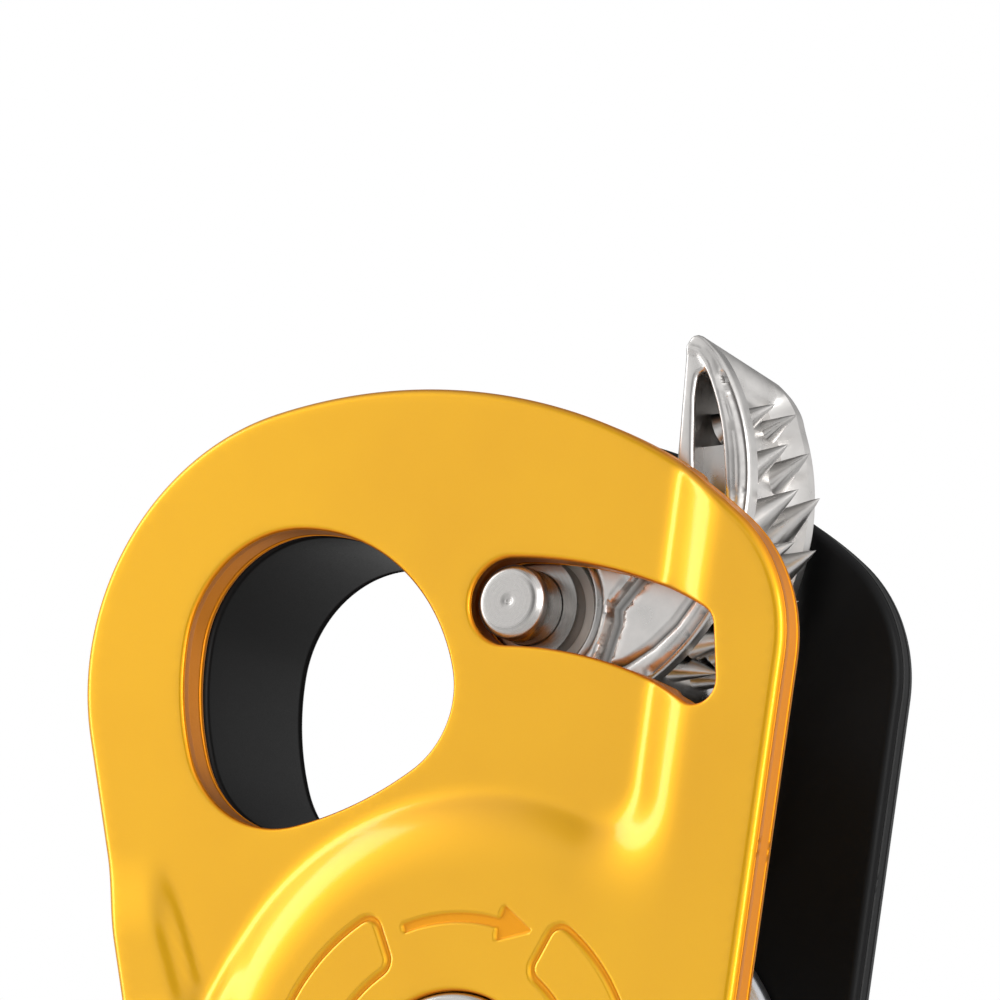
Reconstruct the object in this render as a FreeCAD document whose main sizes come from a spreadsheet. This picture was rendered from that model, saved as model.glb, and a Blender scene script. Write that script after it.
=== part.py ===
"""Rope-clamp pulley (a pulley that works as an ascender), in millimetres.

The origin is the centre of the sheave. +Z points to the attachment hole, +X to the side
where the cam swings out, and -Y to the moving side plate. The two side plates lie in XZ.
"""
import FreeCAD, Part
import math
import os
import Sketcher

Vector = FreeCAD.Vector
doc = FreeCAD.newDocument("rope_clamp_pulley")
sheet = doc.addObject("Spreadsheet::Sheet", "sizes")

SIZES = [
    # both side plates
    ("sheet_thickness", 2.8, "thickness of each side plate"),
    ("emboss", 1.8, "height of the raised dome and rope channel"),
    ("inner_gap_half", 5.0, "half the gap between the flat stretches of the plates"),
    ("head_x", -11.3, "centre of the rounded head, around the attachment hole"),
    ("head_z", 29.7, "height of that centre above the sheave"),
    ("head_radius", 17.6, "radius of the rounded head"),
    ("shoulder_x", 13.8, "centre of the shoulder over the cam"),
    ("shoulder_z", 28.4, "height of that centre"),
    ("shoulder_radius", 10.7, "radius of the shoulder"),
    ("foot_x", -1.95, "centre of the rounded foot"),
    ("foot_radius", 21.5, "radius of the rounded foot"),
    ("crown_radius", 41.0, "radius of the long arc from head to shoulder"),
    ("dome_inset", 1.2, "how much smaller the dome's foot is than the plate's foot"),
    ("dome_slope", 45.0, "angle of the dome's slope, in degrees"),
    ("dome_wall", 2.5, "from the dome's foot in to the hollow inside it"),
    ("step_x", 12.4, "where the rope channel's step meets the height step_foot_z"),
    ("step_foot_z", 12.5, "lower end of the flat stretch"),
    ("step_lean", 8.9, "lean of the step from upright, in degrees"),
    ("step_wall", 1.8, "how far the hollow's step is inside the outer one"),
    # attachment hole and the boss around it
    ("hole_top_x", -13.0, "upper corner of the hole"),
    ("hole_top_z", 31.0, "height of that corner's centre"),
    ("hole_top_radius", 8.0, "radius of that corner"),
    ("hole_side_x", -6.3, "corner beside the cam"),
    ("hole_side_z", 27.3, "height of that corner's centre"),
    ("hole_side_radius", 6.0, "radius of that corner"),
    ("hole_foot_x", -13.5, "lower corner of the hole"),
    ("hole_foot_z", 26.4, "height of that corner's centre"),
    ("hole_foot_radius", 7.3, "radius of that corner"),
    ("hole_upper_arc", 13.0, "radius of the hole's upper side"),
    ("hole_lower_arc", 25.0, "radius of the hole's lower side"),
    ("hole_outer_arc", 18.0, "radius of the hole's side next to the plate's edge"),
    ("boss_wall", 2.4, "wall of the boss around the hole"),
    ("boss_gap", 0.25, "gap between the boss and the moving plate"),
    ("rope_relief_radius", 24.0, "room over the sheave for the thickest rope"),
    ("cam_relief_x", -1.0, "the boss ends here beside the lowered cam"),
    # sheave and its bearing
    ("sheave_gap", 0.4, "gap between the sheave and each raised inner face"),
    ("flange_radius", 17.0, "radius of the sheave's flanges"),
    ("flange_edge", 1.1, "width of a flange at its rim"),
    ("tread_radius", 12.5, "radius at the bottom of the groove"),
    ("tread_half_width", 3.0, "half the width of the groove's flat bottom"),
    ("web_half_width", 3.2, "half the thickness of the sheave's hub"),
    ("hub_radius", 11.3, "where the hub meets the flanges"),
    ("bearing_outer_radius", 9.5, "outer radius of the ball bearing"),
    ("bearing_half_width", 3.0, "half the width of the ball bearing"),
    ("outer_race_radius", 8.1, "inside of the outer ring"),
    ("inner_race_radius", 5.4, "outside of the inner ring"),
    ("ball_radius", 1.5, "radius of a bearing ball"),
    ("ball_circle", 6.75, "radius of the circle of balls"),
    ("race_gap", 0.05, "how much wider than a ball its groove is"),
    ("ball_count", 9, "balls in the bearing"),
    ("cage_thickness", 0.7, "radial thickness of the ball cage"),
    ("cage_rim", 0.3, "rim of the ball cage beside a pocket"),
    ("seal_thickness", 0.4, "thickness of each bearing seal"),
    ("seal_inset", 0.2, "how deep a seal sits in the bearing"),
    # axle of the sheave and the moving plate
    ("axle_radius", 4.0, "radius of the sheave's axle"),
    ("axle_head_radius", 7.0, "radius of the axle's head"),
    ("axle_head_height", 1.2, "height of the axle's head"),
    ("head_proud", 0.25, "how far the head stands out of the plate"),
    ("axle_foot_radius", 5.4, "radius of the riveted foot"),
    ("axle_foot_height", 1.0, "height of the riveted foot"),
    ("spacer_radius", 5.2, "radius of the spacers beside the bearing"),
    ("washer_thickness", 0.35, "thickness of the slide washer under the head"),
    ("running_gap", 0.05, "radial clearance of a running fit"),
    ("head_room", 0.2, "room around the axle's head in its seat"),
    ("boss_hub_room", 0.4, "room around the cam's hub in the boss"),
    ("side_gap", 0.05, "end clearance of a running fit"),
    # cam, its axle and the lock button
    ("pivot_x", 3.6, "cam axle, from the sheave's centre"),
    ("pivot_z", 32.5, "height of the cam axle"),
    ("button_radius", 2.45, "radius of the lock button"),
    ("button_travel", 3.0, "how far the button is pressed"),
    ("button_length", 8.6, "length of the lock button"),
    ("button_waist_depth", 0.6, "depth of the waist where the retaining pin lies"),
    ("button_waist_start", 3.6, "from the button's face to its waist"),
    ("button_edge", 0.5, "chamfer at the rim of the button's face"),
    ("retaining_pin_radius", 0.35, "radius of the pin that keeps the button in"),
    ("retaining_pin_half", 1.3, "half the length of that pin"),
    ("cam_axle_wall", 0.45, "wall of the hollow cam axle"),
    ("collar_rim", 0.55, "how far the axle's front collar stands out"),
    ("collar_thickness", 1.2, "thickness of that collar"),
    ("cam_axle_foot_rim", 1.25, "how far the axle's riveted foot stands out"),
    ("cam_axle_foot_height", 0.9, "height of that foot"),
    ("cam_axle_floor", 1.2, "closed end of the hollow cam axle"),
    ("cam_gap", 0.3, "gap between the cam and each plate"),
    ("cam_hub_wall", 1.15, "wall of the cam's hub"),
    ("cam_hub_front", 3.3, "hub's front face, from the middle plane"),
    ("cam_hub_back", 2.5, "hub's back face, from the middle plane"),
    ("cam_recess_room", 0.4, "room around the hub in the cheeks' round recesses"),
    ("hub_start", 120.0, "where the cam's back meets the hub, in degrees"),
    ("hub_end", 290.0, "where the cam's heel meets the hub, in degrees"),
    ("grip_centre_x", 0.9, "centre of the toothed arc, from the cam axle"),
    ("grip_centre_z", 7.5, "height of that centre"),
    ("grip_radius", 15.2, "radius of the cam's cheeks along the teeth"),
    ("tip_x", 11.2, "tip of the cam, from the cam axle"),
    ("tip_z", 16.6, "height of the cam's tip"),
    ("spine_x", 10.6, "back of the cam above the plates"),
    ("spine_z", 9.4, "height of that point"),
    ("heel_x", 7.4, "lower end of the toothed arc"),
    ("heel_z", -5.6, "height of that end"),
    ("groove_depth", 1.2, "depth of the rope groove between the cheeks"),
    ("cheek_thickness", 1.5, "thickness of each cheek of the cam"),
    ("tooth_radius", 0.95, "radius of a tooth at its root"),
    ("tooth_tip_radius", 0.14, "radius of a tooth's point"),
    ("tooth_length", 2.7, "length of a tooth"),
    ("tooth_rows", 8, "rows of teeth along the arc"),
    ("tooth_pitch", 11.5, "angle between the rows, in degrees"),
    ("tooth_first", 60.0, "angle of the first row from upright, in degrees"),
    ("tooth_lean", 24.0, "lean of the teeth towards the cam's tip, in degrees"),
    ("tooth_column", 2.2, "distance of the outer teeth from the middle plane"),
    ("window_margin", 2.0, "wall at the tip, above the slot that clears mud"),
    ("window_foot_near", 1.2, "that slot's foot, from the cam's back"),
    ("window_foot_far", 3.4, "far corner of its foot, from the cam's back"),
    ("window_top_near", 1.0, "that slot's top, from the cam's tip"),
    ("window_top_far", 1.8, "far corner of its top, from the cam's tip"),
    ("detent_ball_radius", 1.0, "ball that holds the cam up"),
    ("detent_distance", 7.4, "distance of that ball from the cam axle"),
    ("detent_angle", 45.0, "place of that ball, from upright, in degrees"),
    ("detent_socket", 4.5, "depth of the ball's socket in the cam"),
    ("detent_track_depth", 0.5, "depth of the ball's track in the fixed plate"),
    ("detent_track_half", 0.75, "half the width of that track"),
    ("detent_seat", 0.7, "how deep behind the ball's centre its spring rests"),
    # slot in the moving plate
    ("slot_room", 0.45, "room around the button in its slot"),
    ("slot_swing", 24.0, "angle that the moving plate swings, in degrees"),
    ("slot_end_corner", 1.5, "corner radius at the slot's far end"),
    ("slot_flare", 5.0, "angle that the slot's far end widens by, below, in degrees"),
    ("slot_flare_top", 1.5, "angle that it widens by above, in degrees"),
    # springs
    ("button_wire", 0.25, "wire radius of the button's spring"),
    ("button_coil_inset", 0.65, "from the button's rim to its spring's mean radius"),
    ("button_turns", 4, "turns of the button's spring"),
    ("cam_wire", 0.3, "wire radius of the cam's torsion spring"),
    ("cam_coil_room", 0.45, "from the cam axle to its spring's mean radius"),
    ("cam_turns", 2, "turns of the cam's torsion spring"),
    ("detent_wire", 0.15, "wire radius of the detent spring"),
    ("detent_coil", 0.72, "mean radius of the detent spring"),
    ("detent_turns", 5, "turns of the detent spring"),
]

for row, (alias, number, meaning) in enumerate(SIZES, start=1):
    sheet.set(f"A{row}", meaning)
    sheet.set(f"B{row}", str(number))
    sheet.setAlias(f"B{row}", alias)
doc.recompute()


class Size:
    """A length or angle: its number, and the formula that ties it to the sheet."""

    def __init__(self, number, formula):
        self.number = number
        self.formula = formula

    def combine(self, other, sign, number):
        return Size(number, f"({self.formula} {sign} {other.formula})")

    def __add__(self, other):
        other = as_size(other)
        return self.combine(other, "+", self.number + other.number)

    def __sub__(self, other):
        other = as_size(other)
        return self.combine(other, "-", self.number - other.number)

    def __mul__(self, other):
        other = as_size(other)
        return self.combine(other, "*", self.number * other.number)

    def __truediv__(self, other):
        other = as_size(other)
        return self.combine(other, "/", self.number / other.number)

    def __neg__(self):
        return as_size(0) - self

    def __radd__(self, other):
        return as_size(other) + self

    def __rsub__(self, other):
        return as_size(other) - self

    def __rmul__(self, other):
        return as_size(other) * self


def as_size(value):
    return value if isinstance(value, Size) else Size(float(value), str(value))


def sine(angle):
    return Size(math.sin(math.radians(angle.number)), f"sin({angle.formula})")


def cosine(angle):
    return Size(math.cos(math.radians(angle.number)), f"cos({angle.formula})")


class Sheet:
    """The sizes by name, such as size.axle_radius."""

    def __getattr__(self, alias):
        return Size(float(sheet.get(alias)), f"sizes.{alias}")


size = Sheet()


# ---------------------------------------------------------------- sketches and bodies

def new_body(name, place=None):
    """A body named for its part, placed at (x, y, z) sizes."""
    body = doc.addObject("PartDesign::Body", name)
    body.Label = name
    for axis, distance in zip("xyz", place or ()):
        body.setExpression(f"Placement.Base.{axis}", as_size(distance).formula)
    return body


def new_sketch(body, role, level=0):
    """A sketch on one of the body's own origin planes, or level in front of it."""
    sketch = body.newObject("Sketcher::SketchObject", f"{body.Name}_sketch")
    plane = next(item for item in body.Origin.OriginFeatures if item.Role == role)
    sketch.AttachmentSupport = [(plane, "")]
    sketch.MapMode = "FlatFace"
    sketch.setExpression("AttachmentOffset.Base.z", as_size(level).formula)
    return sketch


def fix_point(sketch, geometry, corner, x, y):
    """Ties a point of the sketch to sizes, measured from the sketch's origin."""
    for kind, distance in (("DistanceX", as_size(x)), ("DistanceY", as_size(y))):
        axis = -2 if kind == "DistanceX" else -1
        if abs(distance.number) < 1e-9:
            sketch.addConstraint(Sketcher.Constraint("PointOnObject", geometry, corner, axis))
            continue
        constraint = Sketcher.Constraint(kind, -1, 1, geometry, corner, distance.number)
        index = sketch.addConstraint(constraint)
        sketch.setExpression(f"Constraints[{index}]", distance.formula)


def fix_radius(sketch, geometry, radius):
    index = sketch.addConstraint(Sketcher.Constraint("Radius", geometry, radius.number))
    sketch.setExpression(f"Constraints[{index}]", radius.formula)


def draw_polygon(sketch, points):
    """A closed outline of straight lines through points given as sizes."""
    points = [(as_size(x), as_size(y)) for x, y in points]
    corners = [Vector(x.number, y.number, 0) for x, y in points]
    following = corners[1:] + corners[:1]
    lines = [sketch.addGeometry(Part.LineSegment(a, b)) for a, b in zip(corners, following)]
    for line, after in zip(lines, lines[1:] + lines[:1]):
        sketch.addConstraint(Sketcher.Constraint("Coincident", line, 2, after, 1))
    for line, (x, y) in zip(lines, points):
        fix_point(sketch, line, 1, x, y)


def draw_circle(sketch, x, y, radius):
    x, y, radius = as_size(x), as_size(y), as_size(radius)
    centre = Vector(x.number, y.number, 0)
    circle = sketch.addGeometry(Part.Circle(centre, Vector(0, 0, 1), radius.number))
    fix_point(sketch, circle, 3, x, y)
    fix_radius(sketch, circle, radius)


def side_between(first, second, radius):
    """Where a side touches two corner circles: its two end points and its centre.

    The outline runs counter-clockwise, so its inside is on the left of first to second.
    """
    (ax, ay, ar), (bx, by, br) = first, second
    gap = math.hypot(bx - ax, by - ay)
    along = Vector((bx - ax) / gap, (by - ay) / gap, 0)
    left = Vector(-along.y, along.x, 0)
    a, b = Vector(ax, ay, 0), Vector(bx, by, 0)
    if radius is None:
        lean = (ar - br) / gap
        outward = along * lean - left * math.sqrt(1 - lean * lean)
        return a + outward * ar, b + outward * br, None
    reach_a, reach_b = radius - ar, radius - br
    share = (reach_a ** 2 - reach_b ** 2 + gap ** 2) / (2 * gap)
    centre = a + along * share + left * math.sqrt(reach_a ** 2 - share ** 2)
    start = centre + (a - centre) * (radius / reach_a)
    end = centre + (b - centre) * (radius / reach_b)
    return start, end, centre


def arc_between(centre, start, end):
    """The counter-clockwise arc about centre from start to end."""
    first = math.atan2(start.y - centre.y, start.x - centre.x)
    last = math.atan2(end.y - centre.y, end.x - centre.x)
    if last < first:
        last += 2 * math.pi
    circle = Part.Circle(centre, Vector(0, 0, 1), (start - centre).Length)
    return Part.ArcOfCircle(circle, first, last)


def draw_rounded(sketch, corners, sides):
    """A closed outline of corner circles joined by tangent lines (None) or arcs."""
    circles = [tuple(item.number for item in corner) for corner in corners]
    count = len(circles)
    joins = [
        side_between(circles[i], circles[(i + 1) % count], side and side.number)
        for i, side in enumerate(sides)
    ]
    pieces = []
    for i, (x, y, radius) in enumerate(corners):
        centre = Vector(x.number, y.number, 0)
        start, end, middle = joins[i]
        corner = sketch.addGeometry(arc_between(centre, joins[i - 1][1], start))
        side = Part.LineSegment(start, end) if middle is None else arc_between(middle, start, end)
        pieces += [corner, sketch.addGeometry(side)]
    for piece, after in zip(pieces, pieces[1:] + pieces[:1]):
        sketch.addConstraint(Sketcher.Constraint("Tangent", piece, 2, after, 1))
    for corner, side, (x, y, radius), arc in zip(pieces[::2], pieces[1::2], corners, sides):
        fix_point(sketch, corner, 3, x, y)
        fix_radius(sketch, corner, radius)
        if arc is not None:
            fix_radius(sketch, side, arc)


def extrude(body, kind, sketch, length, backwards=False, slope=None):
    """A Pad or Pocket of the sketch; a pad runs towards -Y unless backwards."""
    feature = body.newObject(f"PartDesign::{kind}", f"{body.Name}_{kind.lower()}")
    feature.Profile = sketch
    feature.setExpression("Length", as_size(length).formula)
    feature.Reversed = backwards
    if slope is not None:
        feature.setExpression("TaperAngle", slope.formula)
    return feature


def cut(body, sketch, depth, backwards=False):
    """A pocket that has to remove material."""
    doc.recompute()
    before = body.Shape.Volume
    feature = extrude(body, "Pocket", sketch, depth, backwards)
    doc.recompute()
    if not body.Shape.Volume < before - 0.01:
        raise RuntimeError(f"{feature.Name} of {body.Label} cuts nothing")
    return feature


def turned(name, profile, place=None):
    """A body turned about its own Y axis from (radius, y) points."""
    body = new_body(name, place)
    sketch = new_sketch(body, "XY_Plane")
    draw_polygon(sketch, profile)
    revolution = body.newObject("PartDesign::Revolution", f"{name}_turning")
    revolution.Profile = sketch
    revolution.ReferenceAxis = (sketch, ["V_Axis"])
    revolution.Angle = 360
    return body


def ring(name, inner, outer, near, far, place=None):
    """A plain ring or tube between two radii and two levels along Y."""
    return turned(name, [(inner, near), (outer, near), (outer, far), (inner, far)], place)


# ---------------------------------------------------------------- side plates

plate_corners = [
    (size.foot_x, as_size(0), size.foot_radius),
    (size.shoulder_x, size.shoulder_z, size.shoulder_radius),
    (size.head_x, size.head_z, size.head_radius),
]
plate_sides = [None, size.crown_radius, None]


def hole_corners(wall=0):
    """Corners of the attachment hole, or of the boss when a wall is given."""
    return [
        (size.hole_foot_x, size.hole_foot_z, size.hole_foot_radius + wall),
        (size.hole_side_x, size.hole_side_z, size.hole_side_radius + wall),
        (size.hole_top_x, size.hole_top_z, size.hole_top_radius + wall),
    ]


def hole_sides(wall=0):
    arcs = (size.hole_lower_arc, size.hole_upper_arc, size.hole_outer_arc)
    return [arc + wall for arc in arcs]


inner_face = size.inner_gap_half
flat_face = inner_face + size.sheet_thickness
raised_inner_face = inner_face + size.emboss
raised_face = flat_face + size.emboss
dome_radius = size.foot_radius - size.dome_inset
beyond_x = size.head_radius * 3
beyond_top = size.head_z + size.head_radius * 2
beyond_foot = -2 * size.foot_radius
lean = sine(size.step_lean) / cosine(size.step_lean)
pivot = (size.pivot_x, 0, size.pivot_z)
button_bore = size.button_radius + size.running_gap
slot_half_width = size.button_radius + size.slot_room
cam_axle_radius = button_bore + size.cam_axle_wall
collar_radius = cam_axle_radius + size.collar_rim
cam_axle_foot_radius = cam_axle_radius + size.cam_axle_foot_rim
cam_hub_radius = cam_axle_radius + size.cam_hub_wall
cam_recess_radius = cam_hub_radius + size.cam_recess_room
cam_half_width = inner_face - size.cam_gap


def step_at(height, inset=0):
    """X of the rope channel's step at a height."""
    return size.step_x + inset + (height - size.step_foot_z) * lean


def side_plate(name, side):
    """One embossed plate; side is -1 for the moving plate and +1 for the fixed one."""
    body = new_body(name)
    inwards = side > 0
    outline = new_sketch(body, "XZ_Plane", -side * inner_face)
    draw_rounded(outline, plate_corners, plate_sides)
    extrude(body, "Pad", outline, size.sheet_thickness + size.emboss, inwards)

    flat = new_sketch(body, "XZ_Plane", -side * raised_face)
    draw_polygon(flat, [
        (-beyond_x, size.step_foot_z),
        (step_at(size.step_foot_z), size.step_foot_z),
        (step_at(beyond_top), beyond_top),
        (-beyond_x, beyond_top),
    ])
    cut(body, flat, size.emboss, inwards)

    dome = new_sketch(body, "XZ_Plane", -side * flat_face)
    draw_circle(dome, 0, 0, dome_radius)
    extrude(body, "Pad", dome, size.emboss, inwards, -size.dome_slope)
    trim = new_sketch(body, "XZ_Plane", -side * inner_face)
    draw_rounded(trim, plate_corners, plate_sides)
    draw_circle(trim, 0, 0, beyond_x)
    cut(body, trim, size.sheet_thickness + size.emboss, not inwards)

    hollow = new_sketch(body, "XZ_Plane", -side * inner_face)
    hollow_top = size.step_foot_z - size.step_wall
    draw_polygon(hollow, [
        (-beyond_x, beyond_foot),
        (beyond_x, beyond_foot),
        (beyond_x, beyond_top),
        (step_at(beyond_top, size.step_wall), beyond_top),
        (step_at(hollow_top, size.step_wall), hollow_top),
        (-beyond_x, hollow_top),
    ])
    cut(body, hollow, size.emboss, not inwards)
    round_hollow = new_sketch(body, "XZ_Plane", -side * inner_face)
    draw_circle(round_hollow, 0, 0, dome_radius - size.dome_wall)
    cut(body, round_hollow, size.emboss, not inwards)
    return body


def plate_hole(body, side, draw, depth=None):
    """A hole cut from the plate's inner face outwards."""
    sketch = new_sketch(body, "XZ_Plane", -side * inner_face)
    draw(sketch)
    through = size.sheet_thickness + size.emboss
    return cut(body, sketch, depth or through, side < 0)


def attachment_hole(sketch):
    draw_rounded(sketch, hole_corners(), hole_sides())


def polar(radius, angle):
    """A point at a distance from the sheave's centre, its angle from upright."""
    return radius * sine(angle), radius * cosine(angle)


pivot_distance = Size(
    math.hypot(size.pivot_x.number, size.pivot_z.number),
    "sqrt(sizes.pivot_x^2 + sizes.pivot_z^2)",
)
pivot_angle = Size(
    math.degrees(math.atan2(size.pivot_x.number, size.pivot_z.number)),
    "(atan(sizes.pivot_x / sizes.pivot_z) / 1deg)",
)


def button_slot(sketch):
    """The slot around the sheave's centre that the button travels in."""
    end_angle = pivot_angle + size.slot_swing
    sine_of_end, cosine_of_end = sine(end_angle), cosine(end_angle)
    near = Vector(size.pivot_x.number, size.pivot_z.number, 0)
    far = Vector(sine_of_end.number, cosine_of_end.number, 0) * pivot_distance.number
    half = slot_half_width.number
    middle = Vector(0, 0, 0)
    outward_near, outward_far = near.normalize(), Vector(far).normalize()
    near = outward_near * pivot_distance.number
    outer_near, inner_near = near + outward_near * half, near - outward_near * half
    outer_far, inner_far = far + outward_far * half, far - outward_far * half
    near_end = sketch.addGeometry(arc_between(near, outer_near, inner_near))
    inner = sketch.addGeometry(arc_between(middle, inner_far, inner_near))
    far_end = sketch.addGeometry(arc_between(far, inner_far, outer_far))
    outer = sketch.addGeometry(arc_between(middle, outer_far, outer_near))
    joints = ((near_end, 2, inner, 2), (inner, 1, far_end, 1), (far_end, 2, outer, 1),
              (outer, 2, near_end, 1))
    for one, one_end, other, other_end in joints:
        sketch.addConstraint(Sketcher.Constraint("Tangent", one, one_end, other, other_end))
    sketch.addConstraint(Sketcher.Constraint("Coincident", inner, 3, -1, 1))
    sketch.addConstraint(Sketcher.Constraint("PointOnObject", outer, 3, -2))
    fix_point(sketch, near_end, 3, size.pivot_x, size.pivot_z)
    fix_point(sketch, far_end, 3, pivot_distance * sine_of_end, pivot_distance * cosine_of_end)
    fix_radius(sketch, near_end, slot_half_width)


def slot_end(sketch):
    """The wider far end of the slot, which shows the cam's teeth."""
    end_angle = pivot_angle + size.slot_swing
    corner = size.slot_end_corner
    reach = slot_half_width - corner
    places = [
        (polar(pivot_distance, end_angle), slot_half_width),
        (polar(pivot_distance - reach, end_angle + size.slot_flare), corner),
        (polar(pivot_distance + reach, end_angle + size.slot_flare_top), corner),
    ]
    draw_rounded(sketch, [(x, z, radius) for (x, z), radius in places], [None] * 3)


def make_moving_plate():
    body = side_plate("moving_side_plate", -1)
    plate_hole(body, -1, attachment_hole)
    plate_hole(body, -1, button_slot)
    plate_hole(body, -1, slot_end)
    bore = size.axle_radius + size.running_gap
    plate_hole(body, -1, lambda sketch: draw_circle(sketch, 0, 0, bore))
    seat = new_sketch(body, "XZ_Plane", raised_face)
    draw_circle(seat, 0, 0, size.axle_head_radius + size.head_room)
    cut(body, seat, head_depth)
    return body


head_depth = size.axle_head_height + size.washer_thickness + size.side_gap - size.head_proud
pivot_sketch = (size.pivot_x, size.pivot_z)


def make_fixed_plate():
    body = side_plate("fixed_side_plate", 1)
    boss = new_sketch(body, "XZ_Plane", -inner_face)
    draw_rounded(boss, hole_corners(size.boss_wall), hole_sides(size.boss_wall))
    boss_height = 2 * size.inner_gap_half - size.boss_gap
    extrude(body, "Pad", boss, boss_height)
    boss_face = inner_face - size.boss_gap

    def relief(draw):
        sketch = new_sketch(body, "XZ_Plane", boss_face)
        draw(sketch)
        cut(body, sketch, boss_height)

    relief(lambda sketch: draw_circle(sketch, 0, 0, size.rope_relief_radius))
    hub_room = cam_hub_radius + size.boss_hub_room
    relief(lambda sketch: draw_circle(sketch, *pivot_sketch, hub_room))
    relief(lambda sketch: draw_polygon(sketch, [
        (size.cam_relief_x, 0),
        (beyond_x, 0),
        (beyond_x, size.pivot_z),
        (size.cam_relief_x, size.pivot_z),
    ]))
    hole = new_sketch(body, "XZ_Plane", boss_face)
    attachment_hole(hole)
    cut(body, hole, boss_height + size.sheet_thickness + size.emboss)

    plate_hole(body, 1, lambda sketch: draw_circle(sketch, 0, 0, size.axle_radius))
    plate_hole(body, 1, lambda sketch: draw_circle(sketch, *pivot_sketch, cam_axle_radius))
    foot_seat = new_sketch(body, "XZ_Plane", -raised_face)
    draw_circle(foot_seat, 0, 0, size.axle_foot_radius)
    cut(body, foot_seat, size.axle_foot_height, True)

    def track(sketch):
        for reach in (size.detent_track_half, -size.detent_track_half):
            draw_circle(sketch, *pivot_sketch, size.detent_distance + reach)

    plate_hole(body, 1, track, size.detent_track_depth)
    return body


# ---------------------------------------------------------------- sheave and bearing

def make_sheave():
    half = raised_inner_face - size.sheave_gap
    rim = half - size.flange_edge
    return turned("sheave", [
        (size.bearing_outer_radius, -size.web_half_width),
        (size.hub_radius, -size.web_half_width),
        (size.hub_radius + (half - size.web_half_width), -half),
        (size.flange_radius, -half),
        (size.flange_radius, -rim),
        (size.tread_radius, -size.tread_half_width),
        (size.tread_radius, size.tread_half_width),
        (size.flange_radius, rim),
        (size.flange_radius, half),
        (size.hub_radius + (half - size.web_half_width), half),
        (size.hub_radius, size.web_half_width),
        (size.bearing_outer_radius, size.web_half_width),
    ])


def race_ring(name, inner, outer):
    """A bearing ring with its ball groove."""
    half = size.bearing_half_width
    body = ring(name, inner, outer, -half, half)
    sketch = new_sketch(body, "XY_Plane")
    draw_circle(sketch, size.ball_circle, 0, size.ball_radius + size.race_gap)
    doc.recompute()
    groove = body.newObject("PartDesign::Groove", f"{name}_groove")
    groove.Profile = sketch
    groove.ReferenceAxis = (sketch, ["V_Axis"])
    groove.Angle = 360
    return body


def make_bearing():
    race_ring("bearing_outer_ring", size.outer_race_radius, size.bearing_outer_radius)
    race_ring("bearing_inner_ring", size.axle_radius, size.inner_race_radius)
    wall_half = size.cage_thickness / 2
    pocket_radius = size.ball_radius + 2 * size.running_gap
    end = pocket_radius + size.cage_rim
    cage = ring("bearing_cage", size.ball_circle - wall_half, size.ball_circle + wall_half,
                -end, end)
    doc.recompute()
    pocket_sketch = new_sketch(cage, "YZ_Plane")
    draw_circle(pocket_sketch, 0, 0, pocket_radius)
    pocket = cut(cage, pocket_sketch, size.bearing_outer_radius, True)
    pattern = cage.newObject("PartDesign::PolarPattern", "bearing_cage_pockets")
    pattern.Originals = [pocket]
    axis = next(item for item in cage.Origin.OriginFeatures if item.Role == "Y_Axis")
    pattern.Axis = (axis, [""])
    pattern.Angle = 360
    pattern.setExpression("Occurrences", size.ball_count.formula)
    cage.Tip = pattern
    seal_face = size.bearing_half_width - size.seal_inset
    seal_back = seal_face - size.seal_thickness
    seal_bore = size.inner_race_radius + size.running_gap
    for name, side in (("bearing_seal_front", -1), ("bearing_seal_rear", 1)):
        ring(name, seal_bore, size.outer_race_radius, side * seal_face, side * seal_back)


def make_balls():
    """The bearing balls, a group of separate solids in one node."""
    balls = []
    for index in range(round(size.ball_count.number)):
        ball = doc.addObject("Part::Sphere", f"ball_{index}")
        ball.setExpression("Radius", size.ball_radius.formula)
        angle = f"{index} * 360 / sizes.ball_count"
        ball.setExpression("Placement.Base.x", f"sizes.ball_circle * cos({angle})")
        ball.setExpression("Placement.Base.z", f"-sizes.ball_circle * sin({angle})")
        balls.append(ball)
    group = doc.addObject("Part::Compound", "bearing_balls")
    group.Links = balls
    group.Label = "bearing_balls"
    return group


# ---------------------------------------------------------------- axle of the sheave

def make_axle():
    head_face = raised_face + size.head_proud
    head_back = head_face - size.axle_head_height
    edge = size.axle_head_height / 4
    turned("sheave_axle", [
        (0, -head_face),
        (size.axle_head_radius - edge, -head_face),
        (size.axle_head_radius, -head_face + edge),
        (size.axle_head_radius, -head_back),
        (size.axle_radius, -head_back),
        (size.axle_radius, raised_face - size.axle_foot_height),
        (size.axle_foot_radius, raised_face - size.axle_foot_height),
        (size.axle_foot_radius, raised_face - edge),
        (size.axle_foot_radius - edge, raised_face),
        (0, raised_face),
    ])
    washer_back = head_back - size.washer_thickness
    ring("slide_washer", size.axle_radius, size.axle_head_radius - edge, -head_back, -washer_back)
    front = raised_inner_face - size.side_gap
    ring("front_spacer", size.axle_radius, size.spacer_radius, -front, -size.bearing_half_width)
    ring("rear_spacer", size.axle_radius, size.spacer_radius, size.bearing_half_width,
         raised_inner_face)


# ---------------------------------------------------------------- cam, its axle and the button

button_face = -flat_face
axle_floor = flat_face + size.cam_axle_foot_height - size.cam_axle_floor
button_back = button_face + size.button_length
waist_near = button_face + size.button_waist_start
waist_far = waist_near + size.button_travel + 2 * size.retaining_pin_radius + 4 * size.side_gap
collar_front = -(inner_face - size.side_gap * 2)
collar_back = collar_front + size.collar_thickness
pin_depth = waist_far - size.retaining_pin_radius - size.side_gap * 2


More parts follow.
